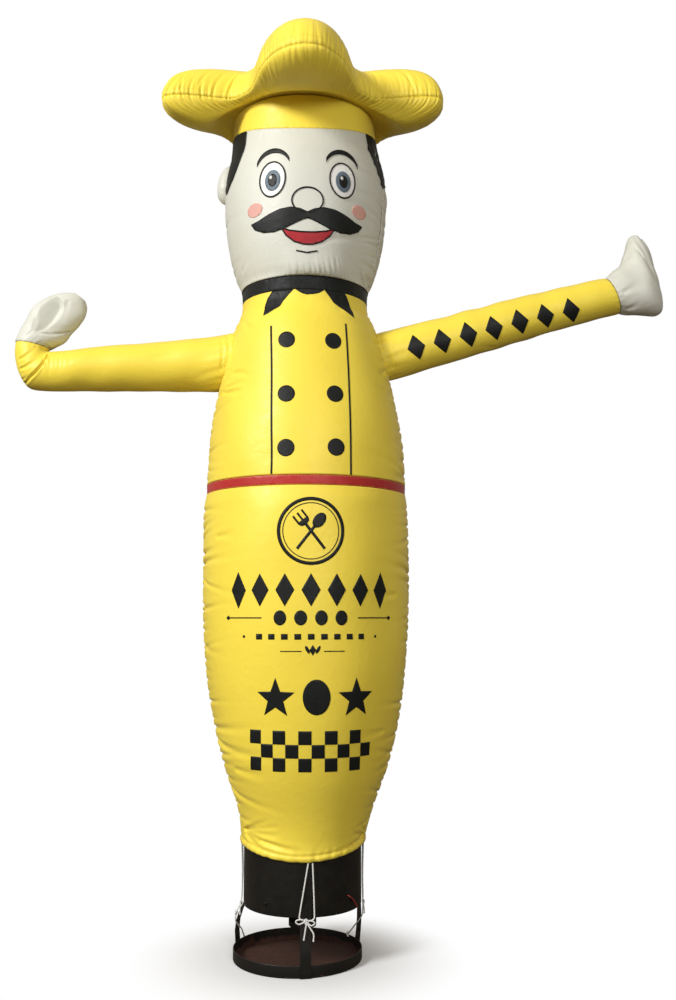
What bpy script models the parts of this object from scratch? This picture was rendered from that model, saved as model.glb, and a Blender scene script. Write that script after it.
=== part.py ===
"""Inflatable air dancer: a sewn nylon figure 3.6 m tall, tied over a fan drum on legs in a tray.

Metres, +Z up. The origin is the middle of the tray's underside. The figure faces -Y, and its
arms reach along -X and +X. Every cloth piece is a thin open shell, so the figure is hollow.
"""

import math

import bmesh
import bpy
from mathutils import Vector

# ---------------------------------------------------------------- driving dimensions

GAP = 0.0003              # between pieces that are sewn or fixed together
SEAM_SHARE = 0.6          # of that gap, on each side of the side seams
CLOTH = 0.003             # wall of every cloth piece
HALF_COLUMNS = 18         # faces round a front or a back panel
ROUND = 2 * HALF_COLUMNS  # faces round a whole ring

TRAY_RADIUS = 0.256
TRAY_RIM = 0.045
SHEET_STEEL = 0.003

DRUM_X = 0.019            # the drum stands a little to one side of the tray
DRUM_RADIUS = 0.235
DRUM_BOTTOM = 0.2125
DRUM_TOP = 0.520
ROUND_STEEL = 40          # faces round the tray and the drum
ROUND_SMALL = 26          # faces round the motor and the fan's hub

POST_WIDTH = 0.043
POST_THICK = 0.004
POST_TOP = 0.262
POST_FOOT = 0.0004        # the posts end just above the floor
POST_BEND = 0.006         # how far below the drum a post turns upright

MOTOR_RADIUS = 0.055
MOTOR_BOTTOM = 0.122
MOTOR_TOP = 0.236
MOTOR_BEVEL = 0.006
BAR_WIDTH = 0.040
BAR_THICK = 0.005
BAR_END_GAP = 0.0012      # between the ends of the motor bar and the drum's wall
FAN_HUB_RADIUS = 0.045
FAN_HUB_HEIGHT = 0.045
FAN_RADIUS = 0.212
FAN_BLADES = 6
FAN_BLADE_CHORD = 0.100
FAN_BLADE_THICK = 0.003
FAN_BLADE_ROOT = 0.6      # chord at the hub, and depth into it, as a share of the full size
FAN_PITCH = math.radians(28)

CORD_RADIUS = 0.0028
KNOT_SQUASH = 0.8         # height of a knot as a share of its width
WIRE_RADIUS = 0.0020
WIRE_CLEAR = 0.0015       # between the wire and the drum where it lies nearest

HEM_Z = 0.437             # mean height of the hem
HEM_DIP = 0.020           # the hem dips at front and back and rises at the sides
WAIST_Z = 1.841           # bottom of the red waist band
WAIST_TALL = 0.040
NECK_Z = 2.649            # bottom of the black collar band
NECK_TALL = 0.056
BAND_TOP_Z = 3.456        # top of the hat band, where the crown begins
BAND_EDGE_Z = 3.333       # mean height of the hat band's lower edge
BAND_EDGE_DIP = 0.033     # that edge dips at front and back and rises at the sides
SEAM_Z = 3.457            # the crown's seam, in one level plane
HEAD_TWIST = math.radians(-20)  # the head's side seams are turned by two columns

# Sideways drift of the figure's middle line: height, x.
SWAY = [
    (0.41, 0.019),
    (0.47, 0.021),
    (0.54, 0.029),
    (0.65, 0.032),
    (1.00, 0.031),
    (1.60, 0.028),
    (2.10, 0.028),
    (2.62, 0.020),
    (3.00, 0.023),
    (3.24, 0.022),
    (3.44, 0.014),
    (3.70, 0.010),
]

# Girth of the blown-up body from hem to waist: height, radius.
BODY = [
    (0.417, 0.2435),
    (0.436, 0.2500),
    (0.465, 0.2500),
    (0.500, 0.2530),
    (0.555, 0.2640),
    (0.614, 0.2820),
    (0.733, 0.3250),
    (0.852, 0.3580),
    (0.971, 0.3830),
    (1.091, 0.4010),
    (1.271, 0.4150),
    (1.514, 0.4235),
    (1.698, 0.4235),
    (1.790, 0.4200),
    (1.841, 0.4120),
]
# From waist to neck.
COAT = [
    (1.841, 0.4100),
    (1.885, 0.4110),
    (1.947, 0.4100),
    (2.073, 0.3990),
    (2.200, 0.3790),
    (2.350, 0.3490),
    (2.470, 0.3190),
    (2.546, 0.2940),
    (2.590, 0.2740),
    (2.630, 0.2640),
    (2.715, 0.2660),
]
# From neck to the top of the hat band.
HEAD = [
    (2.649, 0.2640),
    (2.715, 0.2700),
    (2.754, 0.2880),
    (2.806, 0.3050),
    (2.871, 0.3210),
    (2.960, 0.3350),
    (3.090, 0.3440),
    (3.200, 0.3340),
    (3.290, 0.3150),
    (3.360, 0.3070),
    (3.440, 0.3035),
]
BODY_ROWS = 13
COAT_ROWS = 9
HEAD_ROWS = 9
SEAM_PUCKER = 0.004       # how far the side seams are drawn in at every second row
PUCKER_REACH = 0.16       # how far the drawn-in strip reaches from a side seam, as arc length

# The crown's lobes: angle of the tip in degrees and radius of the seam there, narrowness of the
# lobe, how much higher the top swells at the tip, and how much lower the underside hangs.
CROWN_LOBES = [
    (-89, 0.672, 2.6, 0.036, 0.061),
    (-25, 0.625, 4.0, 0.005, 0.069),
    (66, 0.600, 1.8, 0.000, 0.050),
    (114, 0.600, 1.8, 0.000, 0.050),
    (203, 0.628, 4.0, -0.008, 0.067),
]
# The valleys between them: angle, and radius of the seam.
CROWN_VALLEYS = [(-133.4, 0.371), (-48.5, 0.387), (32, 0.365), (90, 0.365), (148, 0.365)]
CROWN_NEXT = 60           # a valley's own two lobes are less than this many degrees away
CROWN_COLUMNS = 50
CROWN_FULLNESS = 0.235    # power that makes the top's section fuller than a half circle
CROWN_RISE = 0.151        # top of the valleys above the seam
CROWN_CENTRE_RISE = 0.031  # how much higher the crown's middle swells
CROWN_VALLEY_HANG = 0.010
CROWN_INNER = 0.3045      # radius where the underside meets the band
CROWN_GATHER = 0.004      # in-and-out of the gathers along the seam
GATHER_FROM = 0.75        # sine of the angle where the gathers begin
CROWN_TOP_ANGLES = [90, 76, 60, 42, 24, 10, 2.5, 0.4]
CROWN_UNDER_ANGLES = [0, 22, 48, 78, 110, 145, 180]

# Cloth arms as sections: x and z of the upper point, x and z of the lower point, half depth in Y.
LEFT_SLEEVE = [
    (-0.160, 2.563, -0.170, 2.283, 0.135),
    (-0.271, 2.535, -0.300, 2.284, 0.130),
    (-0.420, 2.510, -0.425, 2.286, 0.116),
    (-0.546, 2.497, -0.550, 2.286, 0.109),
    (-0.815, 2.472, -0.815, 2.284, 0.099),
    (-0.960, 2.456, -0.970, 2.283, 0.091),
    (-1.046, 2.447, -1.066, 2.284, 0.082),
    (-1.053, 2.449, -1.131, 2.297, 0.079),
    (-1.056, 2.452, -1.171, 2.350, 0.077),
    (-1.055, 2.455, -1.192, 2.425, 0.075),
    (-1.050, 2.459, -1.194, 2.489, 0.073),
]
LEFT_HAND = [
    (-0.993, 2.490, -1.157, 2.580, 0.066),
    (-0.955, 2.532, -1.120, 2.640, 0.056),
    (-0.922, 2.576, -1.086, 2.676, 0.050),
    (-0.904, 2.608, -1.050, 2.692, 0.043),
    (-0.897, 2.640, -1.000, 2.703, 0.034),
    (-0.908, 2.668, -0.955, 2.706, 0.020),
]
RIGHT_SLEEVE = [
    (0.150, 2.485, 0.200, 2.284, 0.100),
    (0.329, 2.539, 0.373, 2.336, 0.098),
    (0.590, 2.608, 0.637, 2.418, 0.094),
    (0.855, 2.682, 0.905, 2.502, 0.089),
    (1.110, 2.746, 1.160, 2.581, 0.083),
    (1.303, 2.790, 1.368, 2.637, 0.079),
]
RIGHT_HAND = [
    (1.344, 2.822, 1.449, 2.634, 0.086),
    (1.375, 2.850, 1.530, 2.633, 0.086),
    (1.391, 2.890, 1.555, 2.668, 0.080),
    (1.402, 2.925, 1.539, 2.765, 0.068),
    (1.411, 2.956, 1.522, 2.842, 0.056),
    (1.419, 2.974, 1.507, 2.905, 0.043),
    (1.435, 2.986, 1.490, 2.944, 0.026),
]
SLEEVE_COLUMNS = 16
SLEEVE_RINGS = 13
HAND_RINGS = 8
ROOT_GAP = 0.002          # between a sleeve's root and the coat it is sewn to
ARMHOLE_SHARE = 0.80      # armhole radius as a share of the sleeve's

EAR_Z = 3.190
EAR_TALL = 0.175
EAR_DEEP = 0.100
EAR_PROUD = 0.046
EAR_GAP = 0.0015
EAR_COLUMNS = 12
EAR_ANGLES = {"ear_left": 179.0, "ear_right": 21.5}
EAR_STEPS = [0, 25, 50, 75]  # degrees from the ear's foot to its tip

# Legs: name, angle on the tray, angle on the drum, how far the middle bows out.
POSTS = [
    ("post_front", -83.0, -87.0, 0.000),
    ("post_right", 20.0, 16.0, 0.004),
    ("post_back", 92.0, 92.0, 0.000),
    ("post_left", 160.0, 164.0, 0.016),
]

# Ties, each at an angle on the drum. A line's points are sideways, out from the drum, height.
TIES = {
    "tie_front": {
        "angle": -90.0,
        "lines": {
            "strand_a": [(0.021, 0.0065, 0.414), (0.005, 0.0078, 0.320), (-0.011, 0.0095, 0.224)],
            "strand_b": [(0.038, 0.0065, 0.414), (0.042, 0.0070, 0.320), (0.045, 0.0090, 0.224)],
            "turn_a": [(-0.011, 0.0095, 0.224), (-0.010, 0.011, 0.214), (0.015, 0.012, 0.205)],
            "turn_b": [(0.045, 0.0090, 0.224), (0.043, 0.011, 0.214), (0.015, 0.012, 0.205)],
            "bow_left": [
                (0.015, 0.012, 0.207),
                (-0.010, 0.016, 0.211),
                (-0.026, 0.015, 0.205),
                (-0.012, 0.016, 0.196),
                (0.015, 0.012, 0.202),
            ],
            "bow_right": [
                (0.015, 0.013, 0.207),
                (0.034, 0.016, 0.205),
                (0.045, 0.016, 0.198),
                (0.034, 0.017, 0.192),
                (0.015, 0.013, 0.201),
            ],
            "end_a": [(0.015, 0.014, 0.202), (0.011, 0.018, 0.175), (0.005, 0.021, 0.138)],
            "end_b": [
                (0.015, 0.014, 0.202),
                (0.030, 0.018, 0.182),
                (0.042, 0.021, 0.160),
                (0.041, 0.022, 0.134),
            ],
        },
        "knots": [(0.015, 0.0135, 0.204, 0.0085)],
    },
    "tie_left": {
        "angle": 173.0,
        "lines": {
            "strand_a": [(0.010, 0.0115, 0.453), (0.004, 0.0085, 0.320), (0.008, 0.0115, 0.208)],
            "strand_b": [(-0.012, 0.0115, 0.453), (-0.004, 0.0085, 0.320), (0.008, 0.0115, 0.208)],
            "wrap": [(0.008, 0.0115, 0.208), (0.011, 0.022, 0.188), (0.012, 0.030, 0.170)],
            "brace": [
                (0.012, 0.030, 0.170),
                (0.008, 0.034, 0.138),
                (-0.013, 0.026, 0.115),
                (-0.044, 0.019, 0.092),
                (-0.090, 0.0155, 0.050),
            ],
            "end_b": [(0.008, 0.0115, 0.208), (0.022, 0.0135, 0.186), (0.026, 0.0125, 0.164)],
        },
        "knots": [(0.008, 0.0122, 0.208, 0.0085), (0.012, 0.0305, 0.170, 0.0070)],
    },
    "tie_right": {
        "angle": 6.0,
        "lines": {
            "strand_a": [(-0.012, 0.0105, 0.453), (-0.008, 0.0075, 0.320), (-0.002, 0.0095, 0.206)],
            "strand_b": [(0.010, 0.0105, 0.453), (0.003, 0.0075, 0.320), (-0.002, 0.0095, 0.206)],
            "end_a": [(-0.002, 0.0095, 0.206), (-0.009, 0.0125, 0.184), (-0.009, 0.0130, 0.162)],
            "brace": [
                (-0.002, 0.0095, 0.206),
                (0.000, 0.0085, 0.178),
                (0.005, 0.0055, 0.150),
                (0.0575, -0.0163, 0.098),
                (0.1145, -0.0355, 0.049),
            ],
        },
        "knots": [(-0.002, 0.0105, 0.206, 0.0085), (0.1145, -0.0355, 0.049, 0.0065)],
    },
    "tie_back": {
        "angle": 90.0,
        "lines": {
            "strand_a": [(-0.020, 0.0065, 0.414), (-0.012, 0.0080, 0.320), (0.000, 0.0125, 0.214)],
            "strand_b": [(0.018, 0.0065, 0.414), (0.010, 0.0080, 0.320), (0.000, 0.0125, 0.214)],
            "end_a": [(0.000, 0.0140, 0.212), (-0.012, 0.017, 0.185), (-0.016, 0.022, 0.145)],
            "end_b": [(0.000, 0.0140, 0.212), (0.010, 0.017, 0.185), (0.018, 0.022, 0.150)],
        },
        "knots": [(0.000, 0.0142, 0.214, 0.0085)],
    },
}
CORD_SPACING = 0.030      # between the points of a cord's line, and never fewer than five
WIRE_SPACING = 0.008

# A short end of red wire that comes out of the drum: angle on the drum, out from it, height.
WIRE_STUB = [
    (-43.0, -0.001, 0.277),
    (-42.2, 0.006, 0.274),
    (-36.0, 0.008, 0.252),
    (-30.0, 0.007, 0.225),
]


# ---------------------------------------------------------------- helpers


def clear_scene():
    for item in list(bpy.data.objects):
        bpy.data.objects.remove(item, do_unlink=True)


def finish(name, colour, roughness, metallic=0.0):
    """A plain Principled material from an sRGB colour given as 0-1 values."""
    material = bpy.data.materials.new(name)
    material.use_nodes = True
    shader = material.node_tree.nodes["Principled BSDF"]
    linear = [c / 12.92 if c <= 0.04045 else ((c + 0.055) / 1.055) ** 2.4 for c in colour]
    shader.inputs["Base Color"].default_value = (*linear, 1.0)
    shader.inputs["Roughness"].default_value = roughness
    shader.inputs["Metallic"].default_value = metallic
    return material


def put(name, mesh, material, sharp=40.0):
    """Link a mesh as the object of one piece, shaded smooth but for its hard edges."""
    item = bpy.data.objects.new(name, mesh)
    bpy.context.scene.collection.objects.link(item)
    mesh.materials.clear()
    mesh.materials.append(material)
    mesh.shade_smooth()
    mesh.set_sharp_from_angle(angle=math.radians(sharp))
    return item


def mesh_from(name, shape):
    """Close a bmesh into a mesh with every face outwards."""
    bmesh.ops.recalc_face_normals(shape, faces=shape.faces)
    mesh = bpy.data.meshes.new(name)
    shape.to_mesh(mesh)
    shape.free()
    return mesh


def read_curve(rows, position, column=1):
    """A smooth curve through a table's rows, read at a value of the first column."""
    keys = [row[0] for row in rows]
    values = [row[column] for row in rows]
    position = min(max(position, keys[0]), keys[-1])
    step = max(i for i in range(len(keys) - 1) if keys[i] <= position)

    def slope(i):
        before = max(i - 1, 0)
        after = min(i + 1, len(keys) - 1)
        return (values[after] - values[before]) / (keys[after] - keys[before])

    width = keys[step + 1] - keys[step]
    t = (position - keys[step]) / width
    rise = values[step + 1] - values[step]
    start, end = slope(step) * width, slope(step + 1) * width
    return (
        values[step]
        + t * start
        + t * t * (3 * rise - 2 * start - end)
        + t * t * t * (start + end - 2 * rise)
    )


def shell(name, outer, inner, material, around=True, tip=False):
    """A cloth piece between an outer and an inner grid of points, its free edges closed."""
    shape = bmesh.new()
    skins = [[[shape.verts.new(p) for p in ring] for ring in grid] for grid in (outer, inner)]
    last = len(outer) - 1
    columns = len(outer[0])
    pairs = [(j, (j + 1) % columns) for j in range(columns if around else columns - 1)]
    for skin in skins:
        for lower, upper in zip(skin, skin[1:]):
            for j, k in pairs:
                shape.faces.new((lower[j], lower[k], upper[k], upper[j]))
        if tip:
            middle = sum((v.co for v in skin[last]), Vector()) / columns
            pole = shape.verts.new(middle)
            for j, k in pairs:
                shape.faces.new((skin[last][j], skin[last][k], pole))
    for row in [0] if tip else [0, last]:
        for j, k in pairs:
            shape.faces.new((skins[0][row][j], skins[0][row][k], skins[1][row][k], skins[1][row][j]))
    if not around:
        for j in (0, columns - 1):
            for i in range(last):
                shape.faces.new(
                    (skins[0][i][j], skins[0][i + 1][j], skins[1][i + 1][j], skins[1][i][j])
                )
    return put(name, mesh_from(name, shape), material)


def turned(name, outline, centre, material, faces=ROUND_STEEL):
    """A closed outline of (radius, z) points turned about the vertical line through centre."""
    shape = bmesh.new()
    rings = []
    for i in range(faces):
        angle = 2 * math.pi * i / faces
        across = Vector((math.cos(angle), math.sin(angle), 0))
        rings.append([shape.verts.new(centre + across * r + Vector((0, 0, z))) for r, z in outline])
    for i in range(faces):
        here, beyond = rings[i], rings[(i + 1) % faces]
        for j in range(len(outline)):
            k = (j + 1) % len(outline)
            shape.faces.new((here[j], beyond[j], beyond[k], here[k]))
    return put(name, mesh_from(name, shape), material)


def lofted_bar(name, sections, material):
    """A bar through four-cornered sections, with flat ends."""
    shape = bmesh.new()
    rings = [[shape.verts.new(p) for p in section] for section in sections]
    for lower, upper in zip(rings, rings[1:]):
        for j in range(4):
            k = (j + 1) % 4
            shape.faces.new((lower[j], lower[k], upper[k], upper[j]))
    shape.faces.new(rings[0])
    shape.faces.new(rings[-1])
    return put(name, mesh_from(name, shape), material)


def join_into(target, others):
    """Unite solids with the target, so that they are one body. The others stay as guides."""
    for other in others:
        union = target.modifiers.new("union", "BOOLEAN")
        union.operation = "UNION"
        union.solver = "EXACT"
        union.object = other
        other.hide_render = True
        other.display_type = "WIRE"


# ---------------------------------------------------------------- the blown-up figure


def middle_x(z):
    return read_curve(SWAY, z)


def seam_draw(angle, row, radius, twist=0.0):
    """How far a point is drawn in by the puckers along the nearer side seam."""
    off = abs(math.remainder(angle - twist, math.pi)) * radius
    return SEAM_PUCKER * (row % 2) * max(0.0, 1.0 - off / PUCKER_REACH)


def girth_point(rows, angle, z, inset):
    radius = read_curve(rows, z) - inset
    return Vector((middle_x(z) + radius * math.cos(angle), radius * math.sin(angle), z))


def panel_grid(rows, low, high, count, start, end, inset, twist):
    """Points of one panel: rows upwards, columns from a start angle to an end angle."""
    grid = []
    for i in range(count + 1):
        ring = []
        for j in range(HALF_COLUMNS + 1):
            angle = start + (end - start) * j / HALF_COLUMNS
            z = low(angle) + (high(angle) - low(angle)) * i / count
            edge = 0 if i in (0, count) else i
            drawn = seam_draw(angle, edge, read_curve(rows, z), twist)
            ring.append(girth_point(rows, angle, z, inset + drawn))
        grid.append(ring)
    return grid


def front_and_back(name, rows, low, high, count, material, twist=0.0):
    """A front and a back panel, which meet at two side seams."""
    panels = []
    seam = SEAM_SHARE * GAP / min(row[1] for row in rows)
    for side, start in (("front", -math.pi), ("back", 0.0)):
        first = start + twist + seam
        final = start + twist + math.pi - seam
        grids = [
            panel_grid(rows, low, high, count, first, final, inset, twist) for inset in (0.0, CLOTH)
        ]
        panels.append(shell(f"{name}_{side}", *grids, material, around=False))
    return panels


def band(name, rows, low, high, material):
    """A sewn ring of cloth between two edges."""
    grids = []
    for inset in (0.0, CLOTH):
        grid = []
        for edge in (low, high):
            ring = []
            for j in range(ROUND):
                angle = 2 * math.pi * j / ROUND
                ring.append(girth_point(rows, angle, edge(angle), inset))
            grid.append(ring)
        grids.append(grid)
    return shell(name, *grids, material)


def level(z):
    return lambda angle: z


def hem_edge(angle):
    """The body's lower edge, which is tied down at front and back."""
    return HEM_Z + HEM_DIP * math.cos(2 * angle)


def band_edge(offset):
    """The hat band's lower edge, which dips over the face and at the back."""
    return lambda angle: BAND_EDGE_Z + offset + BAND_EDGE_DIP * math.cos(2 * angle)


# ---------------------------------------------------------------- the crown


def crown_outline(angle):
    """At an angle: the radius of the seam, the extra rise of the top, the underside's hang."""
    degrees = math.degrees(angle)
    for valley, valley_radius in CROWN_VALLEYS:
        for tip, tip_radius, narrowness, tip_rise, tip_hang in CROWN_LOBES:
            span = math.remainder(tip - valley, 360)
            off = math.remainder(degrees - valley, 360)
            if abs(span) < CROWN_NEXT and span * off >= 0 and abs(off) <= abs(span):
                swell = math.sin(0.5 * math.pi * off / span) ** narrowness
                radius = valley_radius + (tip_radius - valley_radius) * swell
                return radius, tip_rise * swell, CROWN_VALLEY_HANG + tip_hang * swell
    raise ValueError("no lobe beside this angle")


def crown_gather(angle, nearness):
    """Radial in-and-out of the gathers, strongest at the seam, where nearness is 1."""
    wave = math.cos(0.5 * CROWN_COLUMNS * angle)
    return CROWN_GATHER * wave * max(0.0, nearness - GATHER_FROM) / (1 - GATHER_FROM)


def crown_top_point(angle, around):
    """around runs from 0 at the middle of the top to 90 degrees at the seam."""
    edge, extra, _ = crown_outline(angle)
    share = max(math.sin(around), 0.0) ** CROWN_FULLNESS
    radius = edge * share + crown_gather(angle, math.sin(around))
    rise = CROWN_RISE + CROWN_CENTRE_RISE * (1 - share ** 2) ** 2 + extra * share ** 2
    z = SEAM_Z + 0.5 * GAP + rise * math.cos(around)
    return Vector((middle_x(z) + radius * math.cos(angle), radius * math.sin(angle), z))


def crown_under_point(angle, around):
    """around runs from 0 at the seam, round below, to 180 degrees at the hat band."""
    edge, _, hang = crown_outline(angle)
    share = (1 + math.cos(around)) / 2
    radius = CROWN_INNER + (edge - CROWN_INNER) * share + crown_gather(angle, math.cos(around))
    climb = (SEAM_Z - BAND_TOP_Z) * (1 - share)
    z = SEAM_Z - 0.5 * GAP - climb - hang * math.sin(around)
    return Vector((middle_x(z) + radius * math.cos(angle), radius * math.sin(angle), z))


def crown_inside(point, angle, around):
    """The same place on the inner face of the cloth, one wall in along the normal."""
    tick = math.radians(0.5)
    across = point(angle + tick, around) - point(angle - tick, around)
    along = point(angle, around + tick) - point(angle, around - tick)
    return point(angle, around) - along.cross(across).normalized() * CLOTH


def crown_piece(name, point, degrees, material, tip):
    """One half of the crown, between its seam and its middle or its inner edge."""
    angles = [2 * math.pi * j / CROWN_COLUMNS - math.pi for j in range(CROWN_COLUMNS)]
    steps = [math.radians(step) for step in degrees]
    outer = [[point(angle, around) for angle in angles] for around in steps]
    inner = [[crown_inside(point, angle, around) for angle in angles] for around in steps]
    return shell(name, outer, inner, material, tip=tip)


# ---------------------------------------------------------------- arms, hands and ears


def section_point(sections, position, angle, inset):
    """A point of a cloth tube: position counts along the sections, angle goes round."""
    rows = [(i, *section) for i, section in enumerate(sections)]
    values = [read_curve(rows, position, column) for column in range(1, 6)]
    upper = Vector((values[0], 0, values[1]))
    lower = Vector((values[2], 0, values[3]))
    half = (upper - lower) / 2
    half *= 1 - inset / half.length
    depth = values[4] - inset
    return (upper + lower) / 2 + half * math.cos(angle) + Vector((0, depth * math.sin(angle), 0))


def root_position(sections, angle, inset):
    """Where a sleeve's line leaves the coat, by halving the stretch that holds the crossing."""
    inside, outside = 0.0, 2.0
    for _ in range(24):
        middle = (inside + outside) / 2
        point = section_point(sections, middle, angle, inset)
        reach = math.hypot(point.x - middle_x(point.z), point.y)
        if reach > read_curve(COAT, point.z) + ROOT_GAP:
            outside = middle
        else:
            inside = middle
    return outside


def tube_grid(sections, rings, inset, start_at=None):
    """Rings along a cloth tube, from its first section or from where start_at says."""
    end = len(sections) - 1
    grid = []
    for i in range(rings + 1):
        ring = []
        for j in range(SLEEVE_COLUMNS):
            angle = 2 * math.pi * j / SLEEVE_COLUMNS
            start = start_at(sections, angle, inset) if start_at else 0.0
            ring.append(section_point(sections, start + (end - start) * i / rings, angle, inset))
        grid.append(ring)
    return grid


def sleeve(name, sections, material):
    grids = [
        tube_grid(sections, SLEEVE_RINGS, inset, start_at=root_position) for inset in (0.0, CLOTH)
    ]
    return shell(name, *grids, material)


def cut_armhole(panels, name, sections):
    """Open the coat behind a sleeve, with a guide along the sleeve's own line."""
    shape = bmesh.new()
    rings = []
    for position in (0.0, 0.7, 1.4, 2.1):
        inset = (1 - ARMHOLE_SHARE) * sections[1][4]
        points = [
            section_point(sections, position, 2 * math.pi * j / SLEEVE_COLUMNS, inset)
            for j in range(SLEEVE_COLUMNS)
        ]
        rings.append([shape.verts.new(point) for point in points])
    for lower, upper in zip(rings, rings[1:]):
        for j in range(SLEEVE_COLUMNS):
            k = (j + 1) % SLEEVE_COLUMNS
            shape.faces.new((lower[j], lower[k], upper[k], upper[j]))
    shape.faces.new(rings[0])
    shape.faces.new(rings[-1])
    guide = put(f"{name}_armhole", mesh_from(name, shape), YELLOW)
    guide.hide_render = True
    guide.display_type = "WIRE"
    for panel in panels:
        cut = panel.modifiers.new(f"{name}_armhole", "BOOLEAN")
        cut.operation = "DIFFERENCE"
        cut.solver = "EXACT"
        cut.object = guide


def wrist_section(sections):
    """The sleeve's last section moved on by the gap at the cuff."""
    before, last = sections[-2], sections[-1]
    run_x = last[0] + last[2] - before[0] - before[2]
    run_z = last[1] + last[3] - before[1] - before[3]
    edge = Vector((last[0] - last[2], 0, last[1] - last[3])).normalized()
    onward = Vector((run_x, 0, run_z))
    square = onward - edge * onward.dot(edge)
    step = square.normalized() * 1.5 * GAP
    return (last[0] + step.x, last[1] + step.z, last[2] + step.x, last[3] + step.z, last[4])


def hand(name, sleeve_sections, sections, material):
    whole = [wrist_section(sleeve_sections), *sections]
    grids = [tube_grid(whole, HAND_RINGS, inset) for inset in (0.0, CLOTH)]
    return shell(name, *grids, material, tip=True)


def ear(name, degrees, material):
    """A small cloth lobe whose open foot lies on the side of the head."""
    middle = math.radians(degrees)
    girth = read_curve(HEAD, EAR_Z)
    grids = []
    for inset in (0.0, CLOTH):
        grid = []
        for step in EAR_STEPS:
            spread = math.cos(math.radians(step))
            proud = EAR_PROUD * math.sin(math.radians(step))
            ring = []
            for j in range(EAR_COLUMNS):
                turn = 2 * math.pi * j / EAR_COLUMNS
                side = (EAR_DEEP / 2 * spread - inset) * math.cos(turn)
                z = EAR_Z + (EAR_TALL / 2 * spread - inset) * math.sin(turn)
                angle = middle + side / girth
                radius = read_curve(HEAD, z) + EAR_GAP + max(proud - inset, 0.0)
                ring.append(
                    Vector((middle_x(z) + radius * math.cos(angle), radius * math.sin(angle), z))
                )
            grid.append(ring)
        grids.append(grid)
    return shell(name, *grids, material, tip=True)


# ---------------------------------------------------------------- the blower and its ties


def tray():
    wall = TRAY_RADIUS - SHEET_STEEL
    outline = [
        (0, 0),
        (TRAY_RADIUS, 0),
        (TRAY_RADIUS, TRAY_RIM),
        (wall, TRAY_RIM),
        (wall, SHEET_STEEL),
        (0, SHEET_STEEL),
    ]
    return turned("tray", outline, Vector(), RUST)


def drum():
    wall = DRUM_RADIUS - SHEET_STEEL
    outline = [
        (DRUM_RADIUS, DRUM_BOTTOM),
        (DRUM_RADIUS, DRUM_TOP),
        (wall, DRUM_TOP),
        (wall, DRUM_BOTTOM),
    ]
    return turned("drum", outline, Vector((DRUM_X, 0, 0)), STEEL)


def post(name, tray_angle, drum_angle, bow):
    """A flat leg that stands outside the tray's rim and runs up outside the drum."""
    foot = (math.radians(tray_angle), TRAY_RADIUS + 2 * GAP, Vector())
    head = (math.radians(drum_angle), DRUM_RADIUS + 2 * GAP, Vector((DRUM_X, 0, 0)))
    run = DRUM_BOTTOM - POST_BEND - TRAY_RIM
    stations = [(POST_FOOT, 0.0, 0.0), (TRAY_RIM, 0.0, 0.0)]
    for share in (0.25, 0.5, 0.75):
        stations.append((TRAY_RIM + share * run, share, bow * math.sin(math.pi * share)))
    stations += [(TRAY_RIM + run, 1.0, 0.0), (POST_TOP, 1.0, 0.0)]
    sections = []
    for z, share, out in stations:
        corners = []
        for side, depth in ((-1, 0.0), (1, 0.0), (1, POST_THICK), (-1, POST_THICK)):
            ends = []
            for angle, radius, centre in (foot, head):
                away = Vector((math.cos(angle), math.sin(angle), 0))
                along = Vector((-math.sin(angle), math.cos(angle), 0))
                offset = away * (radius + depth + out) + along * side * POST_WIDTH / 2
                ends.append(centre + offset + Vector((0, 0, z)))
            corners.append(ends[0].lerp(ends[1], share))
        sections.append(corners)
    return lofted_bar(name, sections, STEEL)


def motor():
    outline = [
        (0, MOTOR_BOTTOM),
        (MOTOR_RADIUS - MOTOR_BEVEL, MOTOR_BOTTOM),
        (MOTOR_RADIUS, MOTOR_BOTTOM + MOTOR_BEVEL),
        (MOTOR_RADIUS, MOTOR_TOP),
        (0, MOTOR_TOP),
    ]
    return turned("motor", outline, Vector((DRUM_X, 0, 0)), MOTOR, faces=ROUND_SMALL)


def motor_bar():
    """A flat bar across the drum that the motor hangs from."""
    inside = DRUM_RADIUS - SHEET_STEEL
    half = math.sqrt(inside ** 2 - (BAR_WIDTH / 2) ** 2) - BAR_END_GAP
    low = MOTOR_TOP + GAP
    sections = []
    for y in (-half, half):
        left, right = DRUM_X - BAR_WIDTH / 2, DRUM_X + BAR_WIDTH / 2
        corners = [(left, low), (right, low), (right, low + BAR_THICK), (left, low + BAR_THICK)]
        sections.append([Vector((x, y, z)) for x, z in corners])
    return lofted_bar("motor_bar", sections, STEEL)


def fan():
    """The fan wheel in the drum: a hub with pitched flat blades, one body."""
    low = MOTOR_TOP + BAR_THICK + 2 * GAP
    high = low + FAN_HUB_HEIGHT
    outline = [(0, low), (FAN_HUB_RADIUS, low), (FAN_HUB_RADIUS, high), (0, high)]
    hub = turned("fan", outline, Vector((DRUM_X, 0, 0)), FAN, faces=ROUND_SMALL)
    root = FAN_BLADE_ROOT * FAN_HUB_RADIUS
    blades = []
    for i in range(FAN_BLADES):
        angle = 2 * math.pi * (i + 0.5) / FAN_BLADES
        away = Vector((math.cos(angle), math.sin(angle), 0))
        along = Vector((-math.sin(angle), math.cos(angle), 0))
        slope = along * math.cos(FAN_PITCH) + Vector((0, 0, math.sin(FAN_PITCH)))
        face = slope.cross(away)
        thick = face * FAN_BLADE_THICK / 2
        sections = []
        for reach, chord in ((root, FAN_BLADE_ROOT), (FAN_RADIUS, 1.0)):
            half = slope * FAN_BLADE_CHORD * chord / 2
            spot = Vector((DRUM_X, 0, (low + high) / 2)) + away * reach
            leading, trailing = spot + half, spot - half
            sections.append([trailing - thick, leading - thick, leading + thick, trailing + thick])
        blades.append(lofted_bar(f"blade_{i}", sections, FAN))
    join_into(hub, blades)
    return hub


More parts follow.
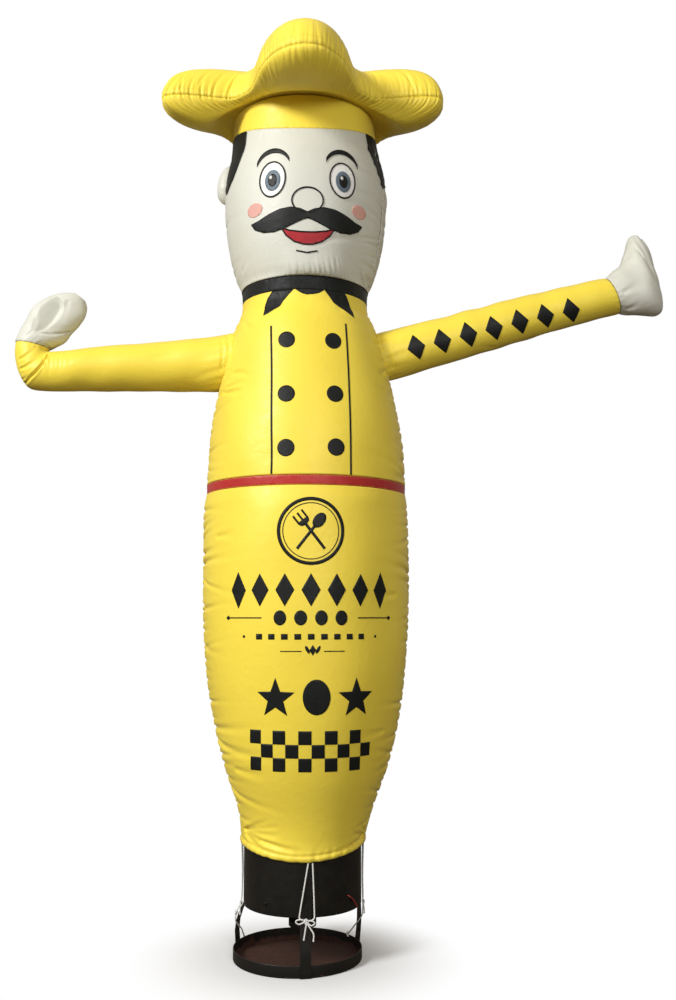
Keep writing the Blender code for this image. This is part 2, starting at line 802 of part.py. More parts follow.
def smooth_path(points, spacing):
    """Evenly set points on a smooth curve through a line's own points."""
    lengths = [0.0]
    for a, b in zip(points, points[1:]):
        lengths.append(lengths[-1] + (b - a).length)
    rows = [(length, *point) for length, point in zip(lengths, points)]
    count = max(4, round(lengths[-1] / spacing))
    return [
        Vector([read_curve(rows, lengths[-1] * i / count, column) for column in (1, 2, 3)])
        for i in range(count + 1)
    ]


def tube(name, points, radius, material):
    """A round cord through points, as a mesh with closed ends."""
    line = bpy.data.curves.new(name, "CURVE")
    line.dimensions = "3D"
    line.bevel_depth = radius
    line.bevel_resolution = 2
    line.resolution_u = 1
    line.render_resolution_u = 0
    line.use_fill_caps = True
    spline = line.splines.new("POLY")
    spline.points.add(len(points) - 1)
    for spot, point in zip(spline.points, points):
        spot.co = (*point, 1.0)
    guide = bpy.data.objects.new(name, line)
    bpy.context.scene.collection.objects.link(guide)
    seen = guide.evaluated_get(bpy.context.evaluated_depsgraph_get())
    mesh = bpy.data.meshes.new_from_object(seen)
    bpy.data.objects.remove(guide, do_unlink=True)
    shape = bmesh.new()
    shape.from_mesh(mesh)
    bmesh.ops.remove_doubles(shape, verts=shape.verts, dist=0.00001)
    bpy.data.meshes.remove(mesh)
    return put(name, mesh_from(name, shape), material)


def knot(name, centre, size):
    """A small rounded lump where the cord is tied."""
    shape = bmesh.new()
    bmesh.ops.create_icosphere(shape, subdivisions=2, radius=size)
    for vert in shape.verts:
        vert.co.z *= KNOT_SQUASH
    bmesh.ops.translate(shape, verts=shape.verts, vec=centre)
    return put(name, mesh_from(name, shape), CORD)


def tie(name, angle, lines, knots):
    """One length of cord, from the hem to its knot and its free ends, as one body."""
    away = Vector((math.cos(math.radians(angle)), math.sin(math.radians(angle)), 0))
    along = Vector((-away.y, away.x, 0))
    drum_middle = Vector((DRUM_X, 0, 0))

    def place(side, out, z):
        return drum_middle + away * (DRUM_RADIUS + out) + along * side + Vector((0, 0, z))

    pieces = []
    for line_name, points in lines.items():
        path = smooth_path([place(*point) for point in points], CORD_SPACING)
        pieces.append(tube(f"{name}_{line_name}", path, CORD_RADIUS, CORD))
    lumps = [knot(f"{name}_knot_{i}", place(*spot[:3]), spot[3]) for i, spot in enumerate(knots)]
    lumps[0].name = name
    join_into(lumps[0], pieces + lumps[1:])
    return lumps[0]


def wire_stub():
    points = []
    for degrees, out, z in WIRE_STUB:
        angle = math.radians(degrees)
        radius = DRUM_RADIUS + WIRE_RADIUS + WIRE_CLEAR + out
        points.append(Vector((DRUM_X + radius * math.cos(angle), radius * math.sin(angle), z)))
    return tube("wire_stub", smooth_path(points, WIRE_SPACING), WIRE_RADIUS, WIRE)


# ---------------------------------------------------------------- build


clear_scene()

YELLOW = finish("yellow_nylon", (0.96, 0.87, 0.25), 0.45)
IVORY = finish("ivory_nylon", (0.86, 0.85, 0.80), 0.5)
RED = finish("red_nylon", (0.74, 0.20, 0.20), 0.5)
BLACK = finish("black_nylon", (0.12, 0.13, 0.13), 0.5)
STEEL = finish("black_steel", (0.10, 0.10, 0.10), 0.35, 0.3)
RUST = finish("rusty_tray_steel", (0.22, 0.13, 0.10), 0.7, 0.2)
MOTOR = finish("motor_iron", (0.09, 0.09, 0.09), 0.5, 0.4)
FAN = finish("fan_aluminium", (0.35, 0.35, 0.34), 0.5, 0.8)
CORD = finish("white_cord", (0.93, 0.92, 0.90), 0.7)
WIRE = finish("red_wire", (0.62, 0.10, 0.09), 0.35)

tray()
drum()
for row in POSTS:
    post(*row)
motor()
motor_bar()
fan()

front_and_back("body_lower", BODY, hem_edge, level(WAIST_Z - GAP), BODY_ROWS, YELLOW)
band("waist_band", COAT, level(WAIST_Z), level(WAIST_Z + WAIST_TALL), RED)
coat = front_and_back(
    "coat", COAT, level(WAIST_Z + WAIST_TALL + GAP), level(NECK_Z - GAP), COAT_ROWS, YELLOW
)
band("collar", COAT, level(NECK_Z), level(NECK_Z + NECK_TALL), BLACK)
front_and_back(
    "head", HEAD, level(NECK_Z + NECK_TALL + GAP), band_edge(-GAP), HEAD_ROWS, IVORY, HEAD_TWIST
)
band("hat_band", HEAD, band_edge(0.0), level(BAND_TOP_Z), YELLOW)
crown_piece("crown_under", crown_under_point, CROWN_UNDER_ANGLES, YELLOW, tip=False)
crown_piece("crown_top", crown_top_point, CROWN_TOP_ANGLES, YELLOW, tip=True)

cut_armhole(coat, "sleeve_left", LEFT_SLEEVE)
cut_armhole(coat, "sleeve_right", RIGHT_SLEEVE)
sleeve("sleeve_left", LEFT_SLEEVE, YELLOW)
hand("hand_left", LEFT_SLEEVE, LEFT_HAND, IVORY)
sleeve("sleeve_right", RIGHT_SLEEVE, YELLOW)
hand("hand_right", RIGHT_SLEEVE, RIGHT_HAND, IVORY)
for ear_name, ear_angle in EAR_ANGLES.items():
    ear(ear_name, ear_angle, IVORY)

for tie_name, row in TIES.items():
    tie(tie_name, row["angle"], row["lines"], row["knots"])
wire_stub()
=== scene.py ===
"""Looks of an inflatable air dancer: a sewn nylon figure of a cook, tied over a fan drum."""

import math
import random

import bmesh
import bpy
import numpy as np
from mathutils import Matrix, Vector, geometry


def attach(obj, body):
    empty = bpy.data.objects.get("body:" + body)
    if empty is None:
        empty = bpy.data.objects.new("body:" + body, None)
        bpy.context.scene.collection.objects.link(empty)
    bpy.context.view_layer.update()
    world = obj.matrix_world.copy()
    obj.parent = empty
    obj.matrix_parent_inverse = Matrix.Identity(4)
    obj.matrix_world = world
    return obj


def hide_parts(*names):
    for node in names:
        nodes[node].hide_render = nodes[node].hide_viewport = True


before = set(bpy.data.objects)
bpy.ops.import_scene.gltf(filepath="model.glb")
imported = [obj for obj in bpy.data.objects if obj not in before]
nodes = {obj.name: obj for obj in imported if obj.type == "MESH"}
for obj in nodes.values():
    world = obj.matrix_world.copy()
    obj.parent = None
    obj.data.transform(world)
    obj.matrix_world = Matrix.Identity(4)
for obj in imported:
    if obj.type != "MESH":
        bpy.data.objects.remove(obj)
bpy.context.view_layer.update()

# ======== the photograph's view
# A phone held at 1.3 m looks slightly up at the whole figure from 4.4 m away. Its view angle is
# that of a 38 mm lens on 36 mm film.

CAMERA_PLACE = (0.019, -4.39, 1.336)
CAMERA_LENS = 38.16
CAMERA_UP = math.radians(6.4)
CAMERA_TURN = math.radians(-1.85)


def place_object(name, data):
    made = bpy.data.objects.new(name, data)
    bpy.context.scene.collection.objects.link(made)
    return made


lens = bpy.data.cameras.new("camera")
lens.lens = CAMERA_LENS
lens.sensor_width = 36.0
lens.clip_end = 80.0
camera = place_object("camera", lens)
camera.location = CAMERA_PLACE
camera.rotation_euler = (math.pi / 2 + CAMERA_UP, 0.0, CAMERA_TURN)
bpy.context.scene.camera = camera

# ======== floor and light
# A plain pale studio floor that runs into a white background. One large soft lamp stands high on
# the left, and the rest is weaker warm light from the room.

FLOOR_SIZE = 60.0
FLOOR_DROP = 0.0008       # the floor lies just under the part's own ground
FLOOR_NEAR = 0.26         # within this radius the floor is plain lit paint
FLOOR_FAR = 0.7           # beyond this one it is as white as the background
FLOOR_GLANCE = "#60584D"  # how the ground beyond the picture lights the figure from below
KEY_PLACE = (-6.4, -5.7, 6.3)
KEY_SIZE = 2.6
KEY_POWER = 850.0
FILL_PLACE = (1.2, -6.2, 3.2)
FILL_SIZE = 2.4
FILL_POWER = 126.0
LAMP_AIM = (0.0, 0.0, 1.75)
ROOM_LIGHT = 0.36
ROOM_TINT = (1.0, 0.90, 0.76, 1.0)
ROOM_SEEN = 1.0           # how bright the room's wall looks behind the figure


def linear(code):
    """A colour for Blender's sockets from an sRGB hex code."""
    parts = [int(code[i:i + 2], 16) / 255 for i in (1, 3, 5)]
    return (*[c / 12.92 if c <= 0.04045 else ((c + 0.055) / 1.055) ** 2.4 for c in parts], 1.0)


def add_node(tree, kind, inputs=None, **settings):
    """Add a node. inputs maps a socket to its value, or to the output or node that feeds it.

    A node that is given there feeds it by its first output.
    """
    made = tree.nodes.new(kind)
    for name, value in settings.items():
        setattr(made, name, value)
    for key, value in (inputs or {}).items():
        if isinstance(value, bpy.types.Node):
            value = value.outputs[0]
        if isinstance(value, bpy.types.NodeSocket):
            tree.links.new(value, made.inputs[key])
        else:
            made.inputs[key].default_value = value
    return made


def new_finish(name):
    """A material with nothing in it, and its tree."""
    material = bpy.data.materials.new(name)
    material.use_nodes = True
    material.node_tree.nodes.clear()
    return material, material.node_tree


def mottle(tree, vector, size, light, dark, detail=3.0):
    """Two close tones of one colour in soft patches of a size in metres, as a colour output."""
    noise = add_node(tree, "ShaderNodeTexNoise", {
        "Vector": vector, "Scale": 1.0 / size, "Detail": detail,
    })
    spread = add_node(tree, "ShaderNodeMapRange", {
        "Value": noise, "From Min": 0.3, "From Max": 0.7,
    })
    mixed = add_node(tree, "ShaderNodeMix", {
        0: spread, 6: light if isinstance(light, bpy.types.NodeSocket) else linear(light),
        7: linear(dark),
    }, data_type="RGBA")
    return mixed.outputs[2]


def close_finish(tree, inputs):
    """The shader and the output that end every material."""
    shader = add_node(tree, "ShaderNodeBsdfPrincipled", inputs)
    add_node(tree, "ShaderNodeOutputMaterial", {"Surface": shader})


# Matt white studio paint, with a faint unevenness. Away from the part it turns into the white of
# the background, so that no line shows between the two.
floor_paint, tree = new_finish("floor_matt_paint")
spot = add_node(tree, "ShaderNodeTexCoord").outputs["Object"]
seen = add_node(tree, "ShaderNodeLightPath").outputs["Is Camera Ray"]
tone = add_node(tree, "ShaderNodeMix", {
    0: seen, 6: linear(FLOOR_GLANCE), 7: mottle(tree, spot, 0.8, "#F4F6F9", "#F0F2F5"),
}, data_type="RGBA").outputs[2]
paint = add_node(tree, "ShaderNodeBsdfPrincipled", {"Base Color": tone, "Roughness": 0.9})
white = add_node(tree, "ShaderNodeEmission", {"Strength": ROOM_SEEN})
away = add_node(tree, "ShaderNodeVectorMath", {0: spot}, operation="LENGTH").outputs["Value"]
share = add_node(tree, "ShaderNodeMapRange", {
    "Value": away, "From Min": FLOOR_NEAR, "From Max": FLOOR_FAR,
}, interpolation_type="SMOOTHSTEP").outputs["Result"]
share = add_node(tree, "ShaderNodeMath", {0: share, 1: seen}, operation="MULTIPLY")
joined = add_node(tree, "ShaderNodeMixShader", {"Fac": share, 1: paint, 2: white})
add_node(tree, "ShaderNodeOutputMaterial", {"Surface": joined})

floor_mesh = bpy.data.meshes.new("floor")
half = FLOOR_SIZE / 2
corners = [(-half, -half), (half, -half), (half, half), (-half, half)]
floor_mesh.from_pydata([(x, y, -FLOOR_DROP) for x, y in corners], [], [(0, 1, 2, 3)])
floor_mesh.materials.append(floor_paint)
place_object("floor", floor_mesh)

for name, spot, size, power in (
    ("key_lamp", KEY_PLACE, KEY_SIZE, KEY_POWER),
    ("fill_lamp", FILL_PLACE, FILL_SIZE, FILL_POWER),
):
    lamp = bpy.data.lights.new(name, "AREA")
    lamp.shape = "DISK"
    lamp.size = size
    lamp.energy = power
    stand = place_object(name, lamp)
    stand.location = spot
    aim = Vector(LAMP_AIM) - Vector(spot)
    stand.rotation_euler = aim.to_track_quat("-Z", "Y").to_euler()

room = bpy.data.worlds.new("studio_room")
room.use_nodes = True
room.node_tree.nodes.clear()
seen = add_node(room.node_tree, "ShaderNodeLightPath").outputs["Is Camera Ray"]
strength = add_node(room.node_tree, "ShaderNodeMapRange", {
    "Value": seen, "To Min": ROOM_LIGHT, "To Max": ROOM_SEEN,
}).outputs["Result"]
tint = add_node(room.node_tree, "ShaderNodeMix", {
    0: seen, 6: ROOM_TINT, 7: (1.0, 1.0, 1.0, 1.0),
}, data_type="RGBA").outputs[2]
glow = add_node(room.node_tree, "ShaderNodeBackground", {"Color": tint, "Strength": strength})
add_node(room.node_tree, "ShaderNodeOutputWorld", {"Surface": glow})
bpy.context.scene.world = room
bpy.context.scene.view_settings.view_transform = "Standard"

# ======== tray
# A shallow round tray of pressed sheet steel, 0.5 m across, that the whole blower stands in. Its
# edge is rolled over, and its floor has rusted under worn black paint.

TRAY_RADIUS = 0.256
TRAY_RIM = 0.045
SHEET_STEEL = 0.003
TRAY_CORNER = 0.004       # radius of the bend between floor and wall
ROUND_STEEL = 128         # faces round the tray and the drum


def smooth_shade(mesh, degrees=35.0):
    mesh.shade_smooth()
    mesh.set_sharp_from_angle(angle=math.radians(degrees))


def finished(name, mesh, material, node=None):
    """Place a finished mesh as a piece that rides on the figure and may stand for a CAD node."""
    mesh.materials.clear()
    mesh.materials.append(material)
    made = place_object(name, mesh)
    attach(made, "root")
    if node:
        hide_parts(node)
    return made


def arc(centre, radius, start, end, steps):
    """Points on a circle's arc between two angles in degrees."""
    angles = [math.radians(start + (end - start) * i / steps) for i in range(steps + 1)]
    return [(centre[0] + radius * math.cos(a), centre[1] + radius * math.sin(a)) for a in angles]


def turned_mesh(name, outline, centre_x, faces=ROUND_STEEL):
    """A closed outline of (radius, z) points turned about an upright line."""
    shape = bmesh.new()
    rings = []
    for i in range(faces):
        turn = 2 * math.pi * i / faces
        rings.append([
            shape.verts.new((centre_x + r * math.cos(turn), r * math.sin(turn), z))
            for r, z in outline
        ])
    for here, beyond in zip(rings, rings[1:] + rings[:1]):
        for j in range(len(outline)):
            k = (j + 1) % len(outline)
            shape.faces.new((here[j], beyond[j], beyond[k], here[k]))
    bmesh.ops.remove_doubles(shape, verts=shape.verts, dist=0.00001)
    bmesh.ops.recalc_face_normals(shape, faces=shape.faces)
    mesh = bpy.data.meshes.new(name)
    shape.to_mesh(mesh)
    shape.free()
    smooth_shade(mesh)
    return mesh


# Black air-drying paint over mild steel, worn through to brown rust in patches of 2 to 6 cm on the
# floor, and whole on the outside of the wall.
rusty_steel, tree = new_finish("rusted_black_painted_steel")
spot = add_node(tree, "ShaderNodeTexCoord").outputs["Object"]
rust = mottle(tree, spot, 0.011, "#4A2717", "#2B160E", detail=8.0)
patches = add_node(tree, "ShaderNodeTexNoise", {"Vector": spot, "Scale": 22.0, "Detail": 6.0})
height = add_node(tree, "ShaderNodeSeparateXYZ", {"Vector": spot}).outputs["Z"]
bare = add_node(tree, "ShaderNodeMapRange", {
    "Value": height, "From Min": 0.004, "From Max": 0.022, "To Min": 0.30, "To Max": -0.10,
}).outputs["Result"]
flat = add_node(tree, "ShaderNodeVectorMath", {0: spot, 1: (1.0, 1.0, 0.0)}, operation="MULTIPLY")
from_middle = add_node(tree, "ShaderNodeVectorMath", {0: flat.outputs["Vector"]},
                       operation="LENGTH")
outside = add_node(tree, "ShaderNodeMapRange", {
    "Value": from_middle.outputs["Value"], "From Min": 0.2530, "From Max": 0.2555, "To Max": -0.34,
}).outputs["Result"]
shelter = add_node(tree, "ShaderNodeMath", {0: bare, 1: outside}, operation="ADD").outputs["Value"]
worn = add_node(tree, "ShaderNodeMath", {0: patches, 1: shelter}, operation="ADD")
edge = add_node(tree, "ShaderNodeMapRange", {
    "Value": worn, "From Min": 0.50, "From Max": 0.60,
}).outputs["Result"]
colour = add_node(tree, "ShaderNodeMix", {
    0: edge, 6: linear("#141312"), 7: rust,
}, data_type="RGBA").outputs[2]
rough = add_node(tree, "ShaderNodeMapRange", {"Value": edge, "To Min": 0.34, "To Max": 0.82})
grit = add_node(tree, "ShaderNodeTexNoise", {"Vector": spot, "Scale": 600.0, "Detail": 4.0})
dent = add_node(tree, "ShaderNodeBump", {"Strength": 0.5, "Distance": 0.0006, "Height": grit})
close_finish(tree, {"Base Color": colour, "Roughness": rough, "Metallic": 0.0, "Normal": dent})

wall = TRAY_RADIUS - SHEET_STEEL
roll = SHEET_STEEL / 2
tray_outline = [
    (0.0, 0.0),
    *arc((TRAY_RADIUS - TRAY_CORNER, TRAY_CORNER), TRAY_CORNER, -90, 0, 5),
    *arc((TRAY_RADIUS - roll, TRAY_RIM - roll), roll, 0, 180, 8),
    *arc((wall - TRAY_CORNER, SHEET_STEEL + TRAY_CORNER), TRAY_CORNER, 0, -90, 5),
    (0.16, SHEET_STEEL),
    (0.06, SHEET_STEEL),
    (0.0, SHEET_STEEL),
]
finished("tray_pan", turned_mesh("tray_pan", tray_outline, 0.0), rusty_steel, "tray")

# ======== drum
# A short open cylinder of rolled sheet steel, 0.47 m across, that guides the fan's air. It is
# sprayed satin black, and both its edges are rolled inwards round a wire.

DRUM_X = 0.019
DRUM_RADIUS = 0.235
DRUM_BOTTOM = 0.2125
DRUM_TOP = 0.520
EDGE_ROLL = 0.0042        # radius of the rolled edge


def rolled_edge(z, side):
    """A wired edge that bulges inwards, at one end of the drum's wall."""
    middle = (DRUM_RADIUS - EDGE_ROLL, z - side * EDGE_ROLL)
    if side > 0:
        return arc(middle, EDGE_ROLL, 0, 230, 10)
    return arc(middle, EDGE_ROLL, -230, 0, 10)


# Satin black enamel: even and deep, with a slight orange-peel that breaks its reflections.
black_enamel, tree = new_finish("satin_black_enamel")
spot = add_node(tree, "ShaderNodeTexCoord").outputs["Object"]
dust = add_node(tree, "ShaderNodeTexNoise", {"Vector": spot, "Scale": 26.0, "Detail": 7.0})
film = add_node(tree, "ShaderNodeMapRange", {
    "Value": dust, "From Min": 0.35, "From Max": 0.75, "To Min": 0.26, "To Max": 0.44,
})
peel = add_node(tree, "ShaderNodeTexNoise", {"Vector": spot, "Scale": 420.0, "Detail": 2.0})
dent = add_node(tree, "ShaderNodeBump", {"Strength": 0.35, "Distance": 0.0004, "Height": peel})
close_finish(tree, {
    "Base Color": mottle(tree, spot, 0.05, "#121211", "#1A1815", detail=6.0), "Roughness": film,
    "Specular IOR Level": 0.34, "Normal": dent,
})

inside = DRUM_RADIUS - SHEET_STEEL
drum_outline = [
    (DRUM_RADIUS, DRUM_BOTTOM + EDGE_ROLL),
    *[(DRUM_RADIUS, DRUM_BOTTOM + (DRUM_TOP - DRUM_BOTTOM) * i / 6) for i in range(1, 6)],
    *rolled_edge(DRUM_TOP, 1),
    (inside, DRUM_TOP - 3 * EDGE_ROLL),
    (inside, DRUM_BOTTOM + 3 * EDGE_ROLL),
    *rolled_edge(DRUM_BOTTOM, -1)[:-1],
]
drum_mesh = turned_mesh("drum_shell", drum_outline, DRUM_X)
finished("drum_shell", drum_mesh, black_enamel, "drum")

# ======== legs and the motor's bar
# Flat steel bars, 43 mm wide and 4 mm thick. Four stand outside the tray and the drum as legs, and
# one lies across the drum and carries the motor. All are cut from bar and sprayed with the drum.

BAR_EDGE = 0.0009         # the sprayed bars' corners are slightly rounded


def eased_copy(name, node, material, width):
    """A CAD node's own shape with its doubles merged and its corners eased."""
    shape = bmesh.new()
    shape.from_mesh(nodes[node].data)
    bmesh.ops.remove_doubles(shape, verts=shape.verts, dist=0.00001)
    bmesh.ops.dissolve_limit(
        shape, angle_limit=math.radians(1.0), verts=shape.verts, edges=shape.edges
    )
    mesh = bpy.data.meshes.new(name)
    shape.to_mesh(mesh)
    shape.free()
    made = finished(name, mesh, material, node)
    round_off = made.modifiers.new("eased", "BEVEL")
    round_off.width = width
    round_off.segments = 2
    round_off.limit_method = "ANGLE"
    round_off.angle_limit = math.radians(30.0)
    smooth_shade(mesh)
    return made


for node in ("post_front", "post_right", "post_back", "post_left"):
    eased_copy(node.replace("post", "leg"), node, black_enamel, BAR_EDGE)
eased_copy("motor_cross_bar", "motor_bar", black_enamel, BAR_EDGE)

# ======== motor
# A closed single-phase motor that hangs shaft up from the bar: a finned cast shell between two end
# caps, painted black with the rest.

MOTOR_RADIUS = 0.055
MOTOR_BOTTOM = 0.122
MOTOR_TOP = 0.236
FIN_COUNT = 30
FIN_DEPTH = 0.006
CAP_TALL = 0.020

# Grey-black machine paint on sand-cast iron, whose grain of about 1.5 mm shows through.
cast_iron, tree = new_finish("painted_sand_cast_iron")
spot = add_node(tree, "ShaderNodeTexCoord").outputs["Object"]
sand = add_node(tree, "ShaderNodeTexNoise", {"Vector": spot, "Scale": 650.0, "Detail": 3.0})
dent = add_node(tree, "ShaderNodeBump", {"Strength": 0.7, "Distance": 0.0008, "Height": sand})
close_finish(tree, {
    "Base Color": mottle(tree, spot, 0.03, "#1B1B1B", "#262421"), "Roughness": 0.55,
    "Normal": dent,
})

core = MOTOR_RADIUS - FIN_DEPTH
motor_outline = [
    (0.0, MOTOR_BOTTOM),
    (0.016, MOTOR_BOTTOM),
    (0.018, MOTOR_BOTTOM + 0.004),
    *arc((core - 0.004, MOTOR_BOTTOM + 0.008), 0.004, -90, 0, 4),
    (core, MOTOR_TOP - 0.004),
    (core - 0.004, MOTOR_TOP),
    (0.0, MOTOR_TOP),
]
motor_mesh = turned_mesh("motor_shell", motor_outline, DRUM_X, faces=64)
motor_shell = finished("motor_shell", motor_mesh, cast_iron, "motor")


def open_group(name, inputs):
    """A Geometry Nodes tree with named inputs: the tree, their identifiers and their outputs."""
    tree = bpy.data.node_groups.new(name, "GeometryNodeTree")
    sockets = {}
    for key, kind in inputs.items():
        made = tree.interface.new_socket(key, in_out="INPUT", socket_type=f"NodeSocket{kind}")
        sockets[key] = made.identifier
    tree.interface.new_socket("Geometry", in_out="OUTPUT", socket_type="NodeSocketGeometry")
    return tree, sockets, add_node(tree, "NodeGroupInput").outputs


def close_group(tree, geometry, finish):
    """End a Geometry Nodes tree with real meshes, all in one finish."""
    real = add_node(tree, "GeometryNodeRealizeInstances", {"Geometry": geometry})
    painted = add_node(tree, "GeometryNodeSetMaterial", {"Geometry": real, "Material": finish})
    add_node(tree, "NodeGroupOutput", {"Geometry": painted})


def fin_tree():
    """Geometry Nodes: upright fins set round a circle."""
    tree, sockets, given = open_group("motor_fins", {
        "Count": "Int", "Radius": "Float", "Depth": "Float", "Thickness": "Float",
        "Height": "Float", "Middle": "Vector", "Finish": "Material",
    })
    circle = add_node(tree, "GeometryNodeMeshCircle", {
        "Vertices": given["Count"], "Radius": given["Radius"],
    })
    size = add_node(tree, "ShaderNodeCombineXYZ", {
        "X": given["Depth"], "Y": given["Thickness"], "Z": given["Height"],
    })
    fin = add_node(tree, "GeometryNodeMeshCube", {"Size": size})
    place = add_node(tree, "GeometryNodeInputPosition")
    facing = add_node(tree, "FunctionNodeAlignEulerToVector", {
        "Vector": place,
    }, axis="X", pivot_axis="Z")
    copies = add_node(tree, "GeometryNodeInstanceOnPoints", {
        "Points": circle, "Instance": fin, "Rotation": facing,
    })
    moved = add_node(tree, "GeometryNodeTransform", {
        "Geometry": copies, "Translation": given["Middle"],
    })
    close_group(tree, moved, given["Finish"])
    return tree, sockets


def grown(name, tree, sockets, values, mesh=None):
    """Run a Geometry Nodes tree and keep its result as a plain mesh."""
    host = place_object(name, mesh or bpy.data.meshes.new(name))
    growth = host.modifiers.new("growth", "NODES")
    growth.node_group = tree
    for key, value in values.items():
        growth[sockets[key]] = value
    seen = host.evaluated_get(bpy.context.evaluated_depsgraph_get())
    result = bpy.data.meshes.new_from_object(seen)
    result.name = name
    bpy.data.objects.remove(host, do_unlink=True)
    return result


fins = grown("motor_fins", *fin_tree(), {
    "Count": FIN_COUNT, "Radius": core + FIN_DEPTH / 2 - 0.0005, "Depth": FIN_DEPTH + 0.001,
    "Thickness": 0.0024, "Height": MOTOR_TOP - MOTOR_BOTTOM - 2 * CAP_TALL,
    "Middle": (DRUM_X, 0.0, (MOTOR_TOP + MOTOR_BOTTOM) / 2), "Finish": cast_iron,
})
finished("motor_fins", fins, cast_iron)
cap_outline = [
    (core - 0.002, 0.0),
    *arc((MOTOR_RADIUS - 0.003, 0.003), 0.003, -90, 0, 4),
    *arc((MOTOR_RADIUS - 0.002, CAP_TALL - 0.002), 0.002, 0, 90, 3),
    (core - 0.002, CAP_TALL),
]
for end, z in (("lower", MOTOR_BOTTOM + 0.001), ("upper", MOTOR_TOP - CAP_TALL)):
    outline = [(r, z + rise) for r, rise in cap_outline]
    cap = turned_mesh(f"motor_cap_{end}", outline, DRUM_X, faces=64)
    finished(f"motor_cap_{end}", cap, cast_iron)

# ======== fan wheel
# A pressed aluminium propeller on the motor's shaft, six pitched blades on a hub. Dull from dust.

# Mill-finish aluminium, dulled by dust that lies in soft patches.
mill_aluminium, tree = new_finish("dusty_mill_aluminium")
spot = add_node(tree, "ShaderNodeTexCoord").outputs["Object"]
close_finish(tree, {
    "Base Color": mottle(tree, spot, 0.04, "#A9A9A7", "#7C7A76", detail=6.0), "Metallic": 0.9,
    "Roughness": 0.5,
})
eased_copy("fan_wheel", "fan", mill_aluminium, 0.0006)

# ======== bolts
# Hex bolts, M8, with flat washers: two hold each leg to the drum, and two more go through the
# drum's wall. They are sprayed with the same black enamel as the drum.

BOLT_ACROSS = 0.0065      # half the width of the head
BOLT_TALL = 0.0045
LEG_BEARINGS = {"front": -87.0, "right": 16.0, "back": 92.0, "left": 164.0}
LEG_OUT = 0.0006 + 0.004  # the leg's outer face, out from the drum
LEG_BOLT_Z = (0.226, 0.249)
LOOSE_BOLTS = (-127.0, -35.0)
LOOSE_BOLT_Z = 0.254


def bolt_tree():
    """Geometry Nodes: a washer and a hex head on each point, square to the point's normal."""
    tree, sockets, given = open_group("hex_bolts", {
        "Points": "Geometry", "Half Width": "Float", "Head Height": "Float", "Finish": "Material",
    })
    head = add_node(tree, "GeometryNodeMeshCylinder", {
        "Vertices": 6, "Radius": given["Half Width"], "Depth": given["Head Height"],
    })
    lift = add_node(tree, "ShaderNodeMath", {0: given["Head Height"], 1: 0.7}, operation="MULTIPLY")
    rise = add_node(tree, "ShaderNodeCombineXYZ", {"Z": lift})
    raised = add_node(tree, "GeometryNodeTransform", {"Geometry": head, "Translation": rise})
    wide = add_node(tree, "ShaderNodeMath", {0: given["Half Width"], 1: 1.5}, operation="MULTIPLY")
    washer = add_node(tree, "GeometryNodeMeshCylinder", {
        "Vertices": 20, "Radius": wide, "Depth": 0.0016,
    })
    both = add_node(tree, "GeometryNodeJoinGeometry")
    tree.links.new(raised.outputs["Geometry"], both.inputs["Geometry"])
    tree.links.new(washer.outputs["Mesh"], both.inputs["Geometry"])
    normal = add_node(
        tree, "GeometryNodeInputNamedAttribute", {"Name": "facing"}, data_type="FLOAT_VECTOR"
    )
    facing = add_node(tree, "FunctionNodeAlignEulerToVector", {
        "Vector": normal.outputs["Attribute"],
    }, axis="Z")
    copies = add_node(tree, "GeometryNodeInstanceOnPoints", {
        "Points": given["Points"], "Instance": both, "Rotation": facing,
    })
    close_group(tree, copies, given["Finish"])
    return tree, sockets


def marked_points(name, points, directions):
    """A mesh of lone points, each with the way that it faces."""
    mesh = bpy.data.meshes.new(name)
    mesh.from_pydata([tuple(point) for point in points], [], [])
    facing = mesh.attributes.new("facing", "FLOAT_VECTOR", "POINT")
    facing.data.foreach_set("vector", np.array(directions, dtype=np.float32).ravel())
    return mesh


spots, ways = [], []
for bearing in LEG_BEARINGS.values():
    away = Vector((math.cos(math.radians(bearing)), math.sin(math.radians(bearing)), 0.0))
    for z in LEG_BOLT_Z:
        spots.append(Vector((DRUM_X, 0, z)) + away * (DRUM_RADIUS + LEG_OUT + 0.0004))
        ways.append(away)
for bearing in LOOSE_BOLTS:
    away = Vector((math.cos(math.radians(bearing)), math.sin(math.radians(bearing)), 0.0))
    spots.append(Vector((DRUM_X, 0, LOOSE_BOLT_Z)) + away * (DRUM_RADIUS + 0.0004))
    ways.append(away)
bolts = grown("bolts", *bolt_tree(), {
    "Half Width": BOLT_ACROSS, "Head Height": BOLT_TALL, "Finish": black_enamel,
}, marked_points("bolts", spots, ways))
finished("bolts", bolts, black_enamel)

# ======== body
# A wide tube of coated nylon from the hem to the waist, cut as a front and a back panel. The side
# seams are lockstitched and pucker the cloth beside them, and the hem is turned up and gathered.

HEM_Z = 0.437
HEM_DIP = 0.020
WAIST_Z = 1.841
WAIST_TALL = 0.040
NECK_Z = 2.649
NECK_TALL = 0.056
BAND_TOP_Z = 3.456
SEAM_GAP = 0.0003
CLOTH = 0.0012            # drawn thickness of the nylon, which is really about 0.1 mm

# Sideways drift of the figure's middle line: height, x.
SWAY = [
    (0.41, 0.019), (0.47, 0.021), (0.54, 0.029), (0.65, 0.032), (1.00, 0.031), (1.60, 0.028),
    (2.10, 0.028), (2.62, 0.020), (3.00, 0.023), (3.24, 0.022), (3.44, 0.014), (3.70, 0.010),
]

